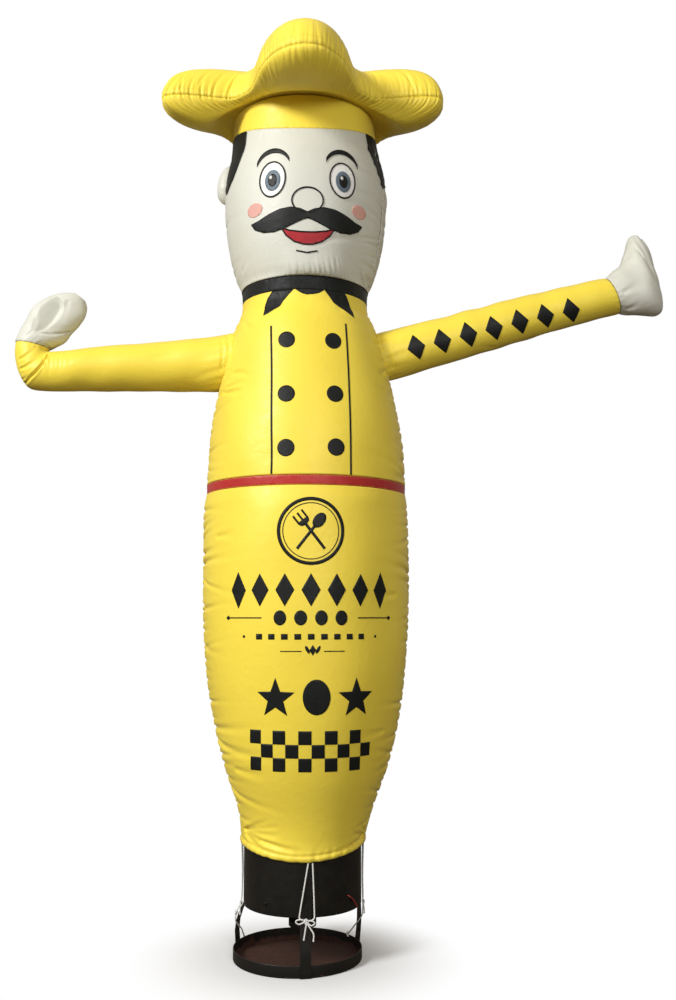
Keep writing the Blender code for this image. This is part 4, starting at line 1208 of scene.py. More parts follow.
# For each tie its bearing on the drum, its two cords and its knots. Points are given as the way
# along the drum, the way out from it and the height.
TIES = {
    "front": (
        -90.0,
        {
            "left": ([
                (0.021, 0.0065, 0.414), (0.005, 0.0078, 0.320), (-0.011, 0.0095, 0.226),
                (-0.011, 0.0110, 0.215), (0.002, 0.0120, 0.207), (0.015, 0.0122, 0.206),
                (-0.010, 0.0160, 0.212), (-0.026, 0.0155, 0.205), (-0.014, 0.0160, 0.195),
                (0.013, 0.0140, 0.202), (0.011, 0.0180, 0.175), (0.005, 0.0210, 0.138),
            ], "bare"),
            "right": ([
                (0.038, 0.0065, 0.414), (0.042, 0.0070, 0.320), (0.045, 0.0090, 0.226),
                (0.043, 0.0110, 0.213), (0.028, 0.0120, 0.206), (0.015, 0.0125, 0.206),
                (0.034, 0.0160, 0.207), (0.047, 0.0160, 0.199), (0.034, 0.0170, 0.190),
                (0.018, 0.0145, 0.199), (0.030, 0.0180, 0.180), (0.042, 0.0210, 0.160),
                (0.041, 0.0220, 0.134),
            ], "bare"),
        },
        [(0.015, 0.0135, 0.204)],
    ),
    "left": (
        173.0,
        {
            "front": ([
                (0.010, 0.0115, 0.453), (0.004, 0.0085, 0.320), (0.008, 0.0115, 0.208),
                (0.011, 0.0220, 0.188), (0.012, 0.0300, 0.170), (0.008, 0.0340, 0.138),
                (-0.013, 0.0260, 0.115), (-0.044, 0.0190, 0.092), (-0.090, 0.0155, 0.050),
            ], "bare"),
            "back": ([
                (-0.012, 0.0115, 0.453), (-0.004, 0.0085, 0.320), (0.007, 0.0115, 0.210),
                (0.022, 0.0135, 0.186), (0.026, 0.0125, 0.164),
            ], "bare"),
        },
        [(0.008, 0.0122, 0.208), (0.012, 0.0305, 0.170)],
    ),
    "right": (
        6.0,
        {
            "front": ([
                (-0.012, 0.0105, 0.453), (-0.008, 0.0075, 0.320), (-0.002, 0.0095, 0.206),
                (0.000, 0.0085, 0.178), (0.005, 0.0055, 0.150), (0.0575, -0.0163, 0.098),
                (0.1145, -0.0355, 0.049),
            ], "knot"),
            "back": ([
                (0.010, 0.0105, 0.453), (0.003, 0.0075, 0.320), (-0.001, 0.0095, 0.208),
                (-0.009, 0.0125, 0.184), (-0.009, 0.0130, 0.162),
            ], "bare"),
        },
        [(-0.002, 0.0105, 0.206), (0.1145, -0.0355, 0.049)],
    ),
    "back": (
        90.0,
        {
            "left": ([
                (-0.020, 0.0065, 0.414), (-0.012, 0.0080, 0.320), (0.000, 0.0125, 0.216),
                (-0.012, 0.0170, 0.185), (-0.016, 0.0220, 0.145),
            ], "bare"),
            "right": ([
                (0.018, 0.0065, 0.414), (0.010, 0.0080, 0.320), (0.001, 0.0125, 0.214),
                (0.010, 0.0170, 0.185), (0.018, 0.0220, 0.150),
            ], "bare"),
        },
        [(0.000, 0.0142, 0.214)],
    ),
}


def smooth_path(points, spacing):
    """Evenly set points on a smooth curve through a line's own points, and its length."""
    points = np.array(points, dtype=float)
    lengths = np.concatenate([[0.0], np.cumsum(np.linalg.norm(np.diff(points, axis=0), axis=1))])
    rows = [(length, *point) for length, point in zip(lengths, points)]
    fine = np.linspace(0.0, lengths[-1], 40 * len(points))
    line = np.stack([read_curve(rows, fine, column) for column in (1, 2, 3)], axis=1)
    run = np.concatenate([[0.0], np.cumsum(np.linalg.norm(np.diff(line, axis=0), axis=1))])
    even = np.linspace(0.0, run[-1], max(6, round(run[-1] / spacing)) + 1)
    return np.stack([np.interp(even, run, line[:, k]) for k in range(3)], axis=1), float(run[-1])


def tube_mesh(name, line, radius, closed=False, flare=0.0):
    """A round cord along a line of points, with a UV map in metres: round it, and along it.

    flare widens the last few millimetres of an open cord, where its braid has opened.
    """
    line = np.asarray(line, dtype=float)
    count = len(line)
    if closed:
        tangent = np.roll(line, -1, axis=0) - np.roll(line, 1, axis=0)
    else:
        tangent = np.gradient(line, axis=0)
    tangent /= np.linalg.norm(tangent, axis=1, keepdims=True)
    side = np.cross(tangent[0], (0.31, 0.87, 0.38))
    sides = []
    for way in tangent:
        side = side - way * side.dot(way)
        side /= np.linalg.norm(side)
        sides.append(side)
    sides = np.array(sides)
    if closed:
        # The frame comes back turned by some angle, which is given back evenly along the line.
        last = sides[-1] - tangent[0] * sides[-1].dot(tangent[0])
        twist = math.atan2(np.cross(last, sides[0]).dot(tangent[0]), last.dot(sides[0]))
        turns = twist * np.arange(count) / count
    else:
        turns = np.zeros(count)
    across = np.cross(tangent, sides)
    width = np.full(count, radius)
    if not closed:
        width[-1] *= 1.0 + flare
        width[-2] *= 1.0 + 0.5 * flare
    run = np.concatenate([[0.0], np.cumsum(np.linalg.norm(np.diff(line, axis=0), axis=1))])
    angle = np.linspace(0.0, 2 * math.pi, TUBE_SIDES, endpoint=False)[None, :] + turns[:, None]
    ring = sides[:, None] * np.cos(angle)[..., None] + across[:, None] * np.sin(angle)[..., None]
    points = (line[:, None] + ring * width[:, None, None]).reshape(-1, 3).tolist()
    faces, spots = [], []
    girth = 2 * math.pi * radius
    for i in range(count if closed else count - 1):
        onward = (i + 1) % count
        far = float(run[onward]) if onward else float(run[-1] + np.linalg.norm(line[0] - line[-1]))
        for j in range(TUBE_SIDES):
            k = (j + 1) % TUBE_SIDES
            faces.append((i * TUBE_SIDES + j, i * TUBE_SIDES + k,
                          onward * TUBE_SIDES + k, onward * TUBE_SIDES + j))
            near_u, far_u = girth * j / TUBE_SIDES, girth * (j + 1) / TUBE_SIDES
            near_v = float(run[i])
            spots += [(near_u, near_v), (far_u, near_v), (far_u, far), (near_u, far)]
    if not closed:
        for first, way, end in ((0, -1, 0), ((count - 1) * TUBE_SIDES, 1, count - 1)):
            points.append((line[end] + way * tangent[end] * 0.4 * radius).tolist())
            tip = len(points) - 1
            for j in range(TUBE_SIDES):
                pair = [first + j, first + (j + 1) % TUBE_SIDES]
                faces.append((*(pair[::-1] if way < 0 else pair), tip))
                spots += [(girth * j / TUBE_SIDES, float(run[end]))] * 3
    mesh = bpy.data.meshes.new(name)
    mesh.from_pydata(points, [], faces)
    threads = mesh.uv_layers.new(name="threads")
    threads.data.foreach_set("uv", np.array(spots, dtype=np.float32).ravel())
    mesh.shade_smooth()
    return mesh


def knot_line(centre, away, size):
    """A line that winds through itself three times, as a tight overhand knot does."""
    away = np.array(away, dtype=float)
    along = np.array((-away[1], away[0], 0.0))
    up = np.array((0.0, 0.0, 1.0))
    t = np.linspace(0.0, 2 * math.pi, 72, endpoint=False)
    reach = size * (KNOT_RADIUS + KNOT_SWING * np.cos(3 * t))
    out = size * KNOT_SWING * np.sin(3 * t)
    return (
        np.array(centre)
        + (reach * np.cos(2 * t))[:, None] * along
        + (1.15 * reach * np.sin(2 * t))[:, None] * up
        + out[:, None] * away
    )


# White polyester braid: sixteen thin strands lie over and under one another at a slant. The
# furrows between them are greyed with painted shade.
white_cord, tree = new_finish("white_polyester_braid")
threads = add_node(tree, "ShaderNodeUVMap", uv_map="threads").outputs["UV"]
parts = add_node(tree, "ShaderNodeSeparateXYZ", {"Vector": threads})
around = add_node(tree, "ShaderNodeMath", {
    0: parts.outputs["X"], 1: 8 * 2 * math.pi / (math.pi * CORD_DIAMETER),
}, operation="MULTIPLY")
onward = add_node(tree, "ShaderNodeMath", {0: parts.outputs["Y"], 1: 2 * math.pi / 0.0032},
                  operation="MULTIPLY")
strands = []
for operation in ("ADD", "SUBTRACT"):
    slant = add_node(tree, "ShaderNodeMath", {0: around, 1: onward}, operation=operation)
    strands.append(add_node(tree, "ShaderNodeMath", {0: slant}, operation="SINE"))
braid = add_node(tree, "ShaderNodeMath", {
    0: strands[0].outputs["Value"], 1: strands[1].outputs["Value"],
}, operation="MAXIMUM")
raised = add_node(tree, "ShaderNodeBump", {"Strength": 0.8, "Distance": 0.0005, "Height": braid})
# Painted shade: the furrows between the strands are drawn greyer than their crowns.
painted_furrow_shade = add_node(tree, "ShaderNodeMapRange", {"Value": braid, "From Min": -0.6, "From Max": 0.6})
shade = add_node(tree, "ShaderNodeMix", {
    0: painted_furrow_shade, 6: linear("#CFCEC8"), 7: linear("#FAFAF7"),
}, data_type="RGBA")
close_finish(tree, {
    "Base Color": shade.outputs[2], "Roughness": 0.75, "Sheen Weight": 0.25, "Normal": raised,
})

for tie_name, (bearing, cords, knots) in TIES.items():
    away = np.array((math.cos(math.radians(bearing)), math.sin(math.radians(bearing)), 0.0))
    along = np.array((-away[1], away[0], 0.0))

    def on_drum(point):
        side, out, z = point
        return np.array((DRUM_X, 0.0, z)) + away * (DRUM_RADIUS + out) + along * side

    for number, spot in enumerate(knots):
        mesh = tube_mesh(f"tie_{tie_name}_knot_{number}", knot_line(on_drum(spot), away, 1.0),
                         KNOT_CORD, closed=True)
        finished(mesh.name, mesh, white_cord)
    for number, (cord_name, (points, end)) in enumerate(cords.items()):
        line, length = smooth_path([on_drum(point) for point in points], 0.0035)
        mesh = tube_mesh(f"tie_{tie_name}_cord_{cord_name}", line, CORD_DIAMETER / 2,
                         flare=0.35 if end == "bare" else 0.0)
        made = finished(mesh.name, mesh, white_cord,
                        f"tie_{tie_name}" if number == 0 else None)

# ======== wire end
# A short cut end of red PVC-covered wire sticks out of a hole in the drum, right of the front leg.

WIRE_DIAMETER = 0.0040
WIRE_CLEAR = 0.0015       # between the wire and the drum where it lies nearest
# Bearing on the drum, the way out from it, height.
WIRE_STUB = [
    (-43.0, -0.001, 0.277),
    (-42.2, 0.006, 0.274),
    (-36.0, 0.008, 0.252),
    (-30.0, 0.007, 0.225),
]

# Soft red PVC, glossy, a little dusty.
red_wire, tree = new_finish("red_pvc_wire_cover")
spot = add_node(tree, "ShaderNodeTexCoord").outputs["Object"]
close_finish(tree, {
    "Base Color": mottle(tree, spot, 0.01, "#B02A26", "#8E1F1C"), "Roughness": 0.32,
    "Coat Weight": 0.2,
})
points = []
for bearing, out, z in WIRE_STUB:
    reach = DRUM_RADIUS + WIRE_DIAMETER / 2 + WIRE_CLEAR + out
    turn = math.radians(bearing)
    points.append((DRUM_X + reach * math.cos(turn), reach * math.sin(turn), z))
line, length = smooth_path(points, 0.0025)
mesh = tube_mesh("wire_end", line, WIRE_DIAMETER / 2)
made = finished("wire_end", mesh, red_wire, "wire_stub")

# ======== waist band
# A flat red nylon band, 40 mm tall, sewn between the body and the coat as the apron's tie. It has
# a line of stitches near each edge, which draws it in a little.

# Girth from waist to neck: height, radius.
COAT = [
    (1.841, 0.4100), (1.885, 0.4110), (1.947, 0.4100), (2.073, 0.3990), (2.200, 0.3790),
    (2.350, 0.3490), (2.470, 0.3190), (2.546, 0.2940), (2.590, 0.2740), (2.630, 0.2640),
    (2.715, 0.2660),
]
BAND_COLUMNS = 240


def band_grid(rows, low, high, count):
    """A closed ring of cloth, with its columns evenly spread."""
    angle = np.linspace(-1.5 * math.pi, 0.5 * math.pi, BAND_COLUMNS, endpoint=False)
    return girth_grid(rows, low, high, angle, -math.pi / 2, count)


def band_relief(band, seed, edge_tuck, ripple):
    """Drawn-in stitched edges with small uneven ripples beside them."""
    tall = band["up"][-1:] - band["up"][:1]
    from_edge = np.minimum(band["climb"], 1.0 - band["climb"]) * tall
    luck = random.Random(seed)
    wave = np.zeros_like(band["across"])
    for _ in range(16):
        turns = luck.randint(24, 95)
        wave += np.sin(turns * band["angle"] + luck.uniform(0.0, 6.28)) / 4.0
    tuck = edge_tuck * np.exp(-(from_edge / 0.004) ** 2)
    return tuck + ripple * wave * np.exp(-(from_edge / 0.012) ** 2)


# The red nylon is the same cloth. Its dye is deep and slightly blue in the shade.
red_nylon = nylon("red_coated_nylon_taffeta", "#B52A27", "#AA2522")
waist = band_grid(COAT, level(WAIST_Z), level(WAIST_Z + WAIST_TALL), 12)
pushed_in(waist, band_relief(waist, 3, 0.0016, 0.0010), around=True)
sewn("waist_tape", waist["grid"], red_nylon, "red_nylon", "waist_band", ["body_panel_front"],
     around=True)
stitched("waist_stitches", [closed(waist["grid"][1]), closed(waist["grid"][-2])], yellow_thread)

# ======== coat
# The chest of the figure, cut as a front and a back panel of yellow nylon that narrow to the neck.
# Each side seam is open round a sleeve, so that the air goes through into the arm.

# Sections of the arms: x and z of the upper point, x and z of the lower point, half depth in Y.
LEFT_SLEEVE = [
    (-0.160, 2.563, -0.170, 2.283, 0.135),
    (-0.271, 2.535, -0.300, 2.284, 0.130),
    (-0.420, 2.510, -0.425, 2.286, 0.116),
    (-0.546, 2.497, -0.550, 2.286, 0.109),
    (-0.815, 2.472, -0.815, 2.284, 0.099),
    (-0.960, 2.456, -0.970, 2.283, 0.091),
    (-1.046, 2.447, -1.066, 2.284, 0.082),
    (-1.053, 2.449, -1.131, 2.297, 0.079),
    (-1.056, 2.452, -1.171, 2.350, 0.077),
    (-1.055, 2.455, -1.192, 2.425, 0.075),
    (-1.050, 2.459, -1.194, 2.489, 0.073),
]
RIGHT_SLEEVE = [
    (0.150, 2.485, 0.200, 2.284, 0.100),
    (0.329, 2.539, 0.373, 2.336, 0.098),
    (0.590, 2.608, 0.637, 2.418, 0.094),
    (0.855, 2.682, 0.905, 2.502, 0.089),
    (1.110, 2.746, 1.160, 2.581, 0.083),
    (1.303, 2.790, 1.368, 2.637, 0.079),
]
ARMHOLE_SHARE = 0.80      # armhole radius as a share of the sleeve's
ARMHOLE_LOW = 2.26        # the side seams' stitches leave out the armholes between these heights
ARMHOLE_HIGH = 2.59
COAT_COLUMNS = 100
COAT_ROWS = 126

# Creases of the coat's front, and of its back: the same columns as the body's.
COAT_CREASES = [
    (-3980, 22620, -2620, 22680, 50, 85), (-4040, 22380, -2850, 22360, 50, 75),
    (3980, 22560, 3000, 22620, 50, 70), (-3490, 23150, -2620, 23120, 70, 96),
    (-3000, 23140, -2460, 22910, 60, 72), (-4300, 22480, -2900, 22280, 75, 88),
    (-3010, 22430, -3260, 22030, 60, 56), (-3440, 24740, -4050, 23000, 85, 80),
    (-3620, 23500, -3000, 24400, 80, 64), (-3000, 25400, -2150, 24700, 80, 56),
    (4450, 23560, 3480, 23200, 70, 88), (4250, 23240, 3500, 23350, 60, 72),
    (3800, 24600, 2700, 25000, 80, 64), (5200, 22700, 4000, 22400, 80, 72),
    (6000, 20620, 4270, 20570, 70, 72), (6000, 19020, 4140, 18990, 70, 72),
    (-6000, 20200, -4400, 20120, 70, 64), (-1200, 26400, -1100, 25600, 80, 48),
    (1450, 26400, 1500, 25500, 80, 56), (100, 26400, 40, 25900, 80, 40),
]
COAT_BACK_CREASES = [
    (-4450, 23560, -3300, 23220, 70, 88), (-4200, 23000, -3000, 22700, 70, 72),
    (3500, 23150, 2550, 23060, 70, 96), (4300, 22450, 3000, 22250, 75, 80),
    (3300, 24800, 2500, 25400, 80, 64), (-3400, 24700, -2400, 25200, 80, 64),
    (6000, 20100, 4300, 20030, 70, 64), (-6000, 19600, -4400, 19650, 70, 64),
    (-600, 26400, -700, 25600, 80, 56), (900, 26400, 800, 25750, 80, 48),
]


def arm_points(sections, position, angle, inset=0.0):
    """Points of a cloth tube: position counts along the sections, angle goes round."""
    rows = [(i, *section) for i, section in enumerate(sections)]
    top_x, top_z, low_x, low_z, deep = (read_curve(rows, position, c) for c in range(1, 6))
    half_x, half_z = (top_x - low_x) / 2, (top_z - low_z) / 2
    shrink = 1 - inset / np.hypot(half_x, half_z)
    return np.stack([
        (top_x + low_x) / 2 + half_x * shrink * np.cos(angle),
        (deep - inset) * np.sin(angle),
        (top_z + low_z) / 2 + half_z * shrink * np.cos(angle),
    ], axis=-1)


def armhole_clear(grid, sections):
    """Which of a grid's faces lie outside the armhole behind a sleeve."""
    middles = (grid[:-1, :-1] + grid[1:, :-1] + grid[:-1, 1:] + grid[1:, 1:]) / 4
    rows = [(i, *section) for i, section in enumerate(sections)]
    position = np.linspace(0.0, 2.0, 81)
    top_x, top_z, low_x, low_z, deep = (read_curve(rows, position, c) for c in range(1, 6))
    mid_x = (top_x + low_x) / 2
    order = np.argsort(mid_x)

    def at(values):
        return np.interp(middles[..., 0], mid_x[order], values[order])

    centre, half, depth = at((top_z + low_z) / 2), at((top_z - low_z) / 2), at(deep)
    off = ((middles[..., 2] - centre) / half) ** 2 + (middles[..., 1] / depth) ** 2
    side = (middles[..., 0] > 0) == (sections[0][0] > 0)
    return ~(side & (off < ARMHOLE_SHARE ** 2))


coat = {}
for side, bearings, seeds, table in (
    ("front", (-180, 0), (21, 22), COAT_CREASES),
    ("back", (0, 180), (22, 21), COAT_BACK_CREASES),
):
    panel = side_panel(
        COAT, level(WAIST_Z + WAIST_TALL + SEAM_GAP), level(NECK_Z - SEAM_GAP),
        bearings, COAT_COLUMNS, COAT_ROWS
    )
    coat[side] = panel
    fade = edge_fade(panel, 0.02, 0.02)
    depth = pucker_both_seams(panel, 1.90, 2.62, seeds) * fade
    depth += creased(panel["across"], panel["up"], table) * edge_fade(panel, 0.01, 0.004)
    depth += panel_swell(panel, seeds[0], 0.0022)
    pushed_in(panel, depth)
    clear = armhole_clear(panel["grid"], LEFT_SLEEVE) & armhole_clear(panel["grid"], RIGHT_SLEEVE)
    sewn(f"coat_panel_{side}", panel["grid"], yellow_nylon, "yellow_nylon", f"coat_{side}",
         ["waist_tape"], keep=clear, seam=side_seams(panel))

lines = []
for column in (1, -2):
    line = coat["front"]["grid"][:, column]
    lines += [line[line[:, 2] < ARMHOLE_LOW], line[line[:, 2] > ARMHOLE_HIGH]]
stitched("coat_stitches", lines, yellow_thread)

# ======== collar
# A black nylon band, 56 mm tall, that closes the coat at the neck and stands for a neckerchief.

# Black-dyed nylon, a little greyer and more even than paint, because the film scatters light.
black_nylon = nylon("black_coated_nylon_taffeta", "#141716", "#101312", rough=0.5, gloss=0.18)
collar = band_grid(COAT, level(NECK_Z), level(NECK_Z + NECK_TALL), 14)
pushed_in(collar, band_relief(collar, 8, 0.0018, 0.0016), around=True)
sewn("collar_band", collar["grid"], black_nylon, "black_nylon", "collar", ["coat_panel_front"],
     around=True)
stitched("collar_stitches", [closed(collar["grid"][1]), closed(collar["grid"][-2])], black_thread)

# ======== print on the coat
# The coat's front is printed in black with two rows of three round buttons, the two lines of its
# piping, and the three points of the neckerchief just below the collar.

BUTTONS = [
    (-0.075, 2.426), (-0.078, 2.199), (-0.080, 1.984),
    (0.112, 2.425), (0.113, 2.202), (0.114, 1.988),
]
BUTTON_RADIUS = 0.034
PIPING = [
    [(-0.139, 2.490), (-0.138, 2.370), (-0.137, 2.259), (-0.137, 2.055), (-0.136, 1.884)],
    [(0.169, 2.507), (0.172, 2.410), (0.174, 2.307), (0.174, 2.060), (0.175, 1.884)],
]
PIPING_WIDTH = 0.008
KERCHIEF = [
    [(-0.139, 2.6487), (-0.160, 2.622), (-0.172, 2.585), (-0.176, 2.541), (-0.155, 2.548),
     (-0.128, 2.563), (-0.101, 2.578), (-0.088, 2.600), (-0.066, 2.628), (-0.046, 2.6487)],
    [(-0.038, 2.6487), (-0.022, 2.637), (-0.008, 2.630), (0.010, 2.627), (0.029, 2.628),
     (0.048, 2.632), (0.062, 2.638), (0.078, 2.6487)],
    [(0.079, 2.6487), (0.100, 2.624), (0.120, 2.596), (0.150, 2.580), (0.184, 2.560),
     (0.217, 2.543), (0.212, 2.570), (0.201, 2.599), (0.188, 2.630), (0.176, 2.6487)],
]

shapes = [filled(oval(x, z, BUTTON_RADIUS, BUTTON_RADIUS)) for x, z in BUTTONS]
shapes += [ribbon(line, PIPING_WIDTH) for line in PIPING]
shapes += [filled(outline) for outline in KERCHIEF]
printed("coat_print", shapes, on_panel(coat["front"], PRINT_LIFT), black_ink)

# ======== head
# A barrel of ivory nylon in a front and a back panel, eased into the collar below, where the extra
# cloth stands up in short puckers under the chin, and into the hat's band above.

BAND_EDGE_Z = 3.333
BAND_EDGE_DIP = 0.033
HEAD_TWIST = -20.0
HEAD_COLUMNS = 210
HEAD_ROWS = 90
CHIN_MIDDLE = 0.05        # where the chin swells out over the collar: its middle, right of the front
CHIN_HALF = 0.14
CHIN_TALL = 0.026         # height above the collar where it stands out most
CHIN_BULGE = 0.015

# Girth from neck to the top of the hat band: height, radius.
HEAD = [
    (2.649, 0.2640), (2.715, 0.2700), (2.754, 0.2880), (2.806, 0.3050), (2.871, 0.3210),
    (2.960, 0.3350), (3.090, 0.3440), (3.200, 0.3340), (3.290, 0.3150), (3.360, 0.3070),
    (3.440, 0.3035),
]
HEAD_CREASES = [
    (-4200, 33000, -3600, 32200, 70, 30), (3300, 33300, 3220, 32500, 70, 30),
    (-1900, 33000, -1860, 32400, 70, 20), (-3300, 27600, -2500, 28000, 70, 30),
    (3000, 27550, 2500, 28150, 70, 35),
]


def band_edge(offset):
    """The hat band's lower edge, which dips over the face and at the back."""
    return lambda angle: BAND_EDGE_Z + offset + BAND_EDGE_DIP * np.cos(2 * angle)


def eased_puckers(panel, seed, reach, deep, pitch, top=False):
    """Short upright puckers where fuller cloth is eased into a band."""
    luck = random.Random(seed)
    from_edge = panel["up"] - panel["up"][:1]
    if top:
        from_edge = panel["up"][-1:] - panel["up"]
    depth = np.zeros_like(panel["across"])
    place = panel["across"].min()
    while place < panel["across"].max():
        tall = reach * luck.uniform(0.6, 1.25)
        width = pitch * luck.uniform(0.16, 0.26)
        lean = luck.uniform(-0.15, 0.15)
        off = (panel["across"] - place - lean * from_edge) / width
        depth += deep * luck.uniform(0.5, 1.2) * np.exp(-0.5 * off ** 2 - (from_edge / tall) ** 2)
        place += pitch * luck.uniform(0.6, 1.4)
    return depth


# Ivory nylon: an undyed white that is a little warm and grey.
ivory_nylon = nylon("ivory_coated_nylon_taffeta", "#D1D2C7", "#CBCBBF")
head = {}
for side, bearings, columns, density, seeds in (
    ("front", (HEAD_TWIST - 180, HEAD_TWIST), HEAD_COLUMNS, 0.15, (31, 32)),
    ("back", (HEAD_TWIST, HEAD_TWIST + 180), HEAD_COLUMNS // 2, SEAM_DENSITY, (32, 31)),
):
    panel = side_panel(
        HEAD, level(NECK_Z + NECK_TALL + SEAM_GAP), band_edge(-SEAM_GAP),
        bearings, columns, HEAD_ROWS, density
    )
    head[side] = panel
    from_front = (panel["angle"][None, :] + math.pi / 2) * panel["radius"]
    depth = pucker_both_seams(panel, 2.74, 3.30, seeds, 0.8) * edge_fade(panel, 0.02, 0.02)
    chin = np.exp(-((from_front - CHIN_MIDDLE) / CHIN_HALF) ** 4)
    depth += eased_puckers(panel, seeds[0], 0.046, 0.0066, 0.019) * (0.15 + 0.85 * chin)
    depth += eased_puckers(panel, seeds[1], 0.022, 0.0016, 0.030, top=True)
    above = panel["up"] - panel["up"][:1]
    depth -= CHIN_BULGE * chin * (above / CHIN_TALL) * np.exp(1 - above / CHIN_TALL)
    depth += panel_swell(panel, seeds[0], 0.0016)
    if side == "front":
        depth += creased(from_front, panel["up"], HEAD_CREASES)
    depth *= edge_fade(panel, 0.004, 0.004)
    pushed_in(panel, depth)
    # The streaks follow the side seams, and the collar's seam where that is nearer.
    run, from_side = side_seams(panel)
    from_collar = 2.0 * above + 0 * from_side
    nearer = from_collar < from_side
    seam = np.where(nearer, panel["across"], run), np.where(nearer, from_collar, from_side)
    sewn(f"head_panel_{side}", panel["grid"], ivory_nylon, "ivory_nylon", f"head_{side}",
         ["collar_band"], seam=seam)

grid = head["front"]["grid"]
stitched("head_stitches", [grid[1:-1, 1], grid[1:-1, -2]], ivory_thread)

# ======== print on the head
# A plain friendly face of simple shapes, with hair at the temples, is printed on the ivory cloth:
# the pale and coloured fields first, then the dark ones and the black outlines over them.

EYES = (-0.140, 0.152)
EYE_Z = 3.084
EYE_HALF = (0.057, 0.072)
BROW_Z = 3.118            # middle of the arcs that the brows are drawn with, and their radius
BROW_HALF = 0.078
BROW_THICK = 0.020
NOSE = (0.006, 2.990, 0.062, 0.050)
# The hair's outline down from the hat band, as bearing and height.
HAIR_LEFT = [
    (-140.7, 3.284), (-141.2, 3.258), (-144.0, 3.218), (-147.8, 3.180), (-152.3, 3.148),
    (-159.7, 3.121), (-165.0, 3.108), (-170.0, 3.120), (-173.5, 3.160), (-175.0, 3.220),
    (-178.0, 3.285), (-184.0, 3.310),
]
HAIR_RIGHT = [(-35.8, 3.285), (-34.2, 3.243), (-29.5, 3.202), (-23.6, 3.165), (-20.1, 3.133)]
HAIR_BEHIND = [
    (-19.9, 3.133), (-14.0, 3.150), (-5.0, 3.175), (4.0, 3.200), (11.0, 3.225), (12.0, 3.280),
]
HALF_MOUSTACHE = [
    (0.0, 2.944), (0.028, 2.957), (0.066, 2.964), (0.112, 2.959), (0.160, 2.944),
    (0.206, 2.926), (0.246, 2.918), (0.226, 2.893), (0.184, 2.875), (0.136, 2.871),
    (0.090, 2.881), (0.048, 2.899), (0.016, 2.913), (0.0, 2.917),
]
SMILE = [
    (-0.098, 2.884), (-0.062, 2.872), (-0.020, 2.866), (0.010, 2.865), (0.040, 2.866),
    (0.082, 2.872), (0.118, 2.884), (0.098, 2.854), (0.066, 2.830), (0.030, 2.819),
    (0.010, 2.818), (-0.010, 2.819), (-0.046, 2.830), (-0.078, 2.854),
]


def mirrored(points, x):
    """Flat points on the other side of an upright line, turning the same way as before."""
    return [(2 * x - a, b) for a, b in points][::-1]


def hair(outline, last):
    """A field of hair below the hat band: an outline of bearings and heights, as flat points."""
    top = band_edge(-0.0008)
    ends = np.radians(np.linspace(last, outline[0][0] - 0.1, 9))
    points = [(math.radians(bearing), z) for bearing, z in outline]
    points += [(bearing, float(top(bearing))) for bearing in ends]
    return [((bearing + math.pi / 2) * float(read_curve(HEAD, z)), z) for bearing, z in points]


# White ink, a soft pink, a grey for the irises, and the red of the mouth.
white_ink = ink_finish("white_print_ink", "#E8E8E4", "#E2E1DC")
pink_ink = ink_finish("pink_print_ink", "#D9A79A", "#D29E92")
grey_ink = ink_finish("grey_print_ink", "#66747F", "#5A6873")
red_ink = ink_finish("red_print_ink", "#B02F35", "#A0282F")

pale, tinted, dark, light = (on_panel(head["front"], k * PRINT_LIFT) for k in (1, 2, 3, 4))
wide, tall = EYE_HALF
cheeks = [filled(oval(x, 2.972, 0.038, 0.028)) for x in (-0.222, 0.234)]
printed("face_cheeks", cheeks, pale, pink_ink)
printed("face_eye_whites", [filled(oval(x, EYE_Z, wide, tall)) for x in EYES], pale, white_ink)
printed("face_mouth", [filled(SMILE)], pale, red_ink)
irises = [filled(oval(x + 0.002, EYE_Z - 0.006, 0.6 * wide, 0.6 * tall)) for x in EYES]
printed("face_irises", irises, tinted, grey_ink)
shapes = [filled(oval(x + 0.002, EYE_Z - 0.006, 0.34 * wide, 0.36 * tall)) for x in EYES]
shapes += [ribbon(oval(x, EYE_Z, wide, tall, steps=64), 0.0060, closed=True) for x in EYES]
shapes.append(ribbon(oval(*NOSE, steps=64), 0.0060, closed=True))
half = [(NOSE[0] + x, z) for x, z in HALF_MOUSTACHE]
shapes += [filled(half), filled(mirrored(half, NOSE[0]))]
for middle in EYES:
    lower = arc((middle, BROW_Z), BROW_HALF, 158, 22, 24)
    upper = arc((middle, BROW_Z + BROW_THICK), BROW_HALF, 22, 158, 24)
    shapes.append(filled(lower[::-1] + upper[::-1]))
shapes.append(ribbon(SMILE, 0.0050, closed=True))
shapes.append(ribbon([(-0.036, 2.795), (0.006, 2.787), (0.048, 2.795)], 0.0050))
printed("face_lines", shapes, dark, black_ink)
lights = [filled(oval(x - 0.005, EYE_Z + 0.006, 0.0060, 0.0075, steps=20)) for x in EYES]
printed("face_lights", lights, light, white_ink)
fields = [filled(hair(HAIR_LEFT, -186.0)), filled(hair(HAIR_RIGHT, -20.1))]
printed("hair_front", fields, dark, black_ink)
printed("hair_behind", [filled(hair(HAIR_BEHIND, 12.0))], on_panel(head["back"], 3 * PRINT_LIFT),
        black_ink)

# ======== ears
# Two small blown lobes of the same ivory nylon, sewn open-footed over holes in the head's sides.

EAR_Z = 3.190
EAR_TALL = 0.175
EAR_DEEP = 0.100
EAR_PROUD = 0.046
EAR_COLUMNS = 64
EAR_ROWS = 22
EAR_SINK = 0.004          # the foot of the ear is sunk this far into the head
EAR_BEARINGS = {"ear_left": 179.0, "ear_right": 21.5}

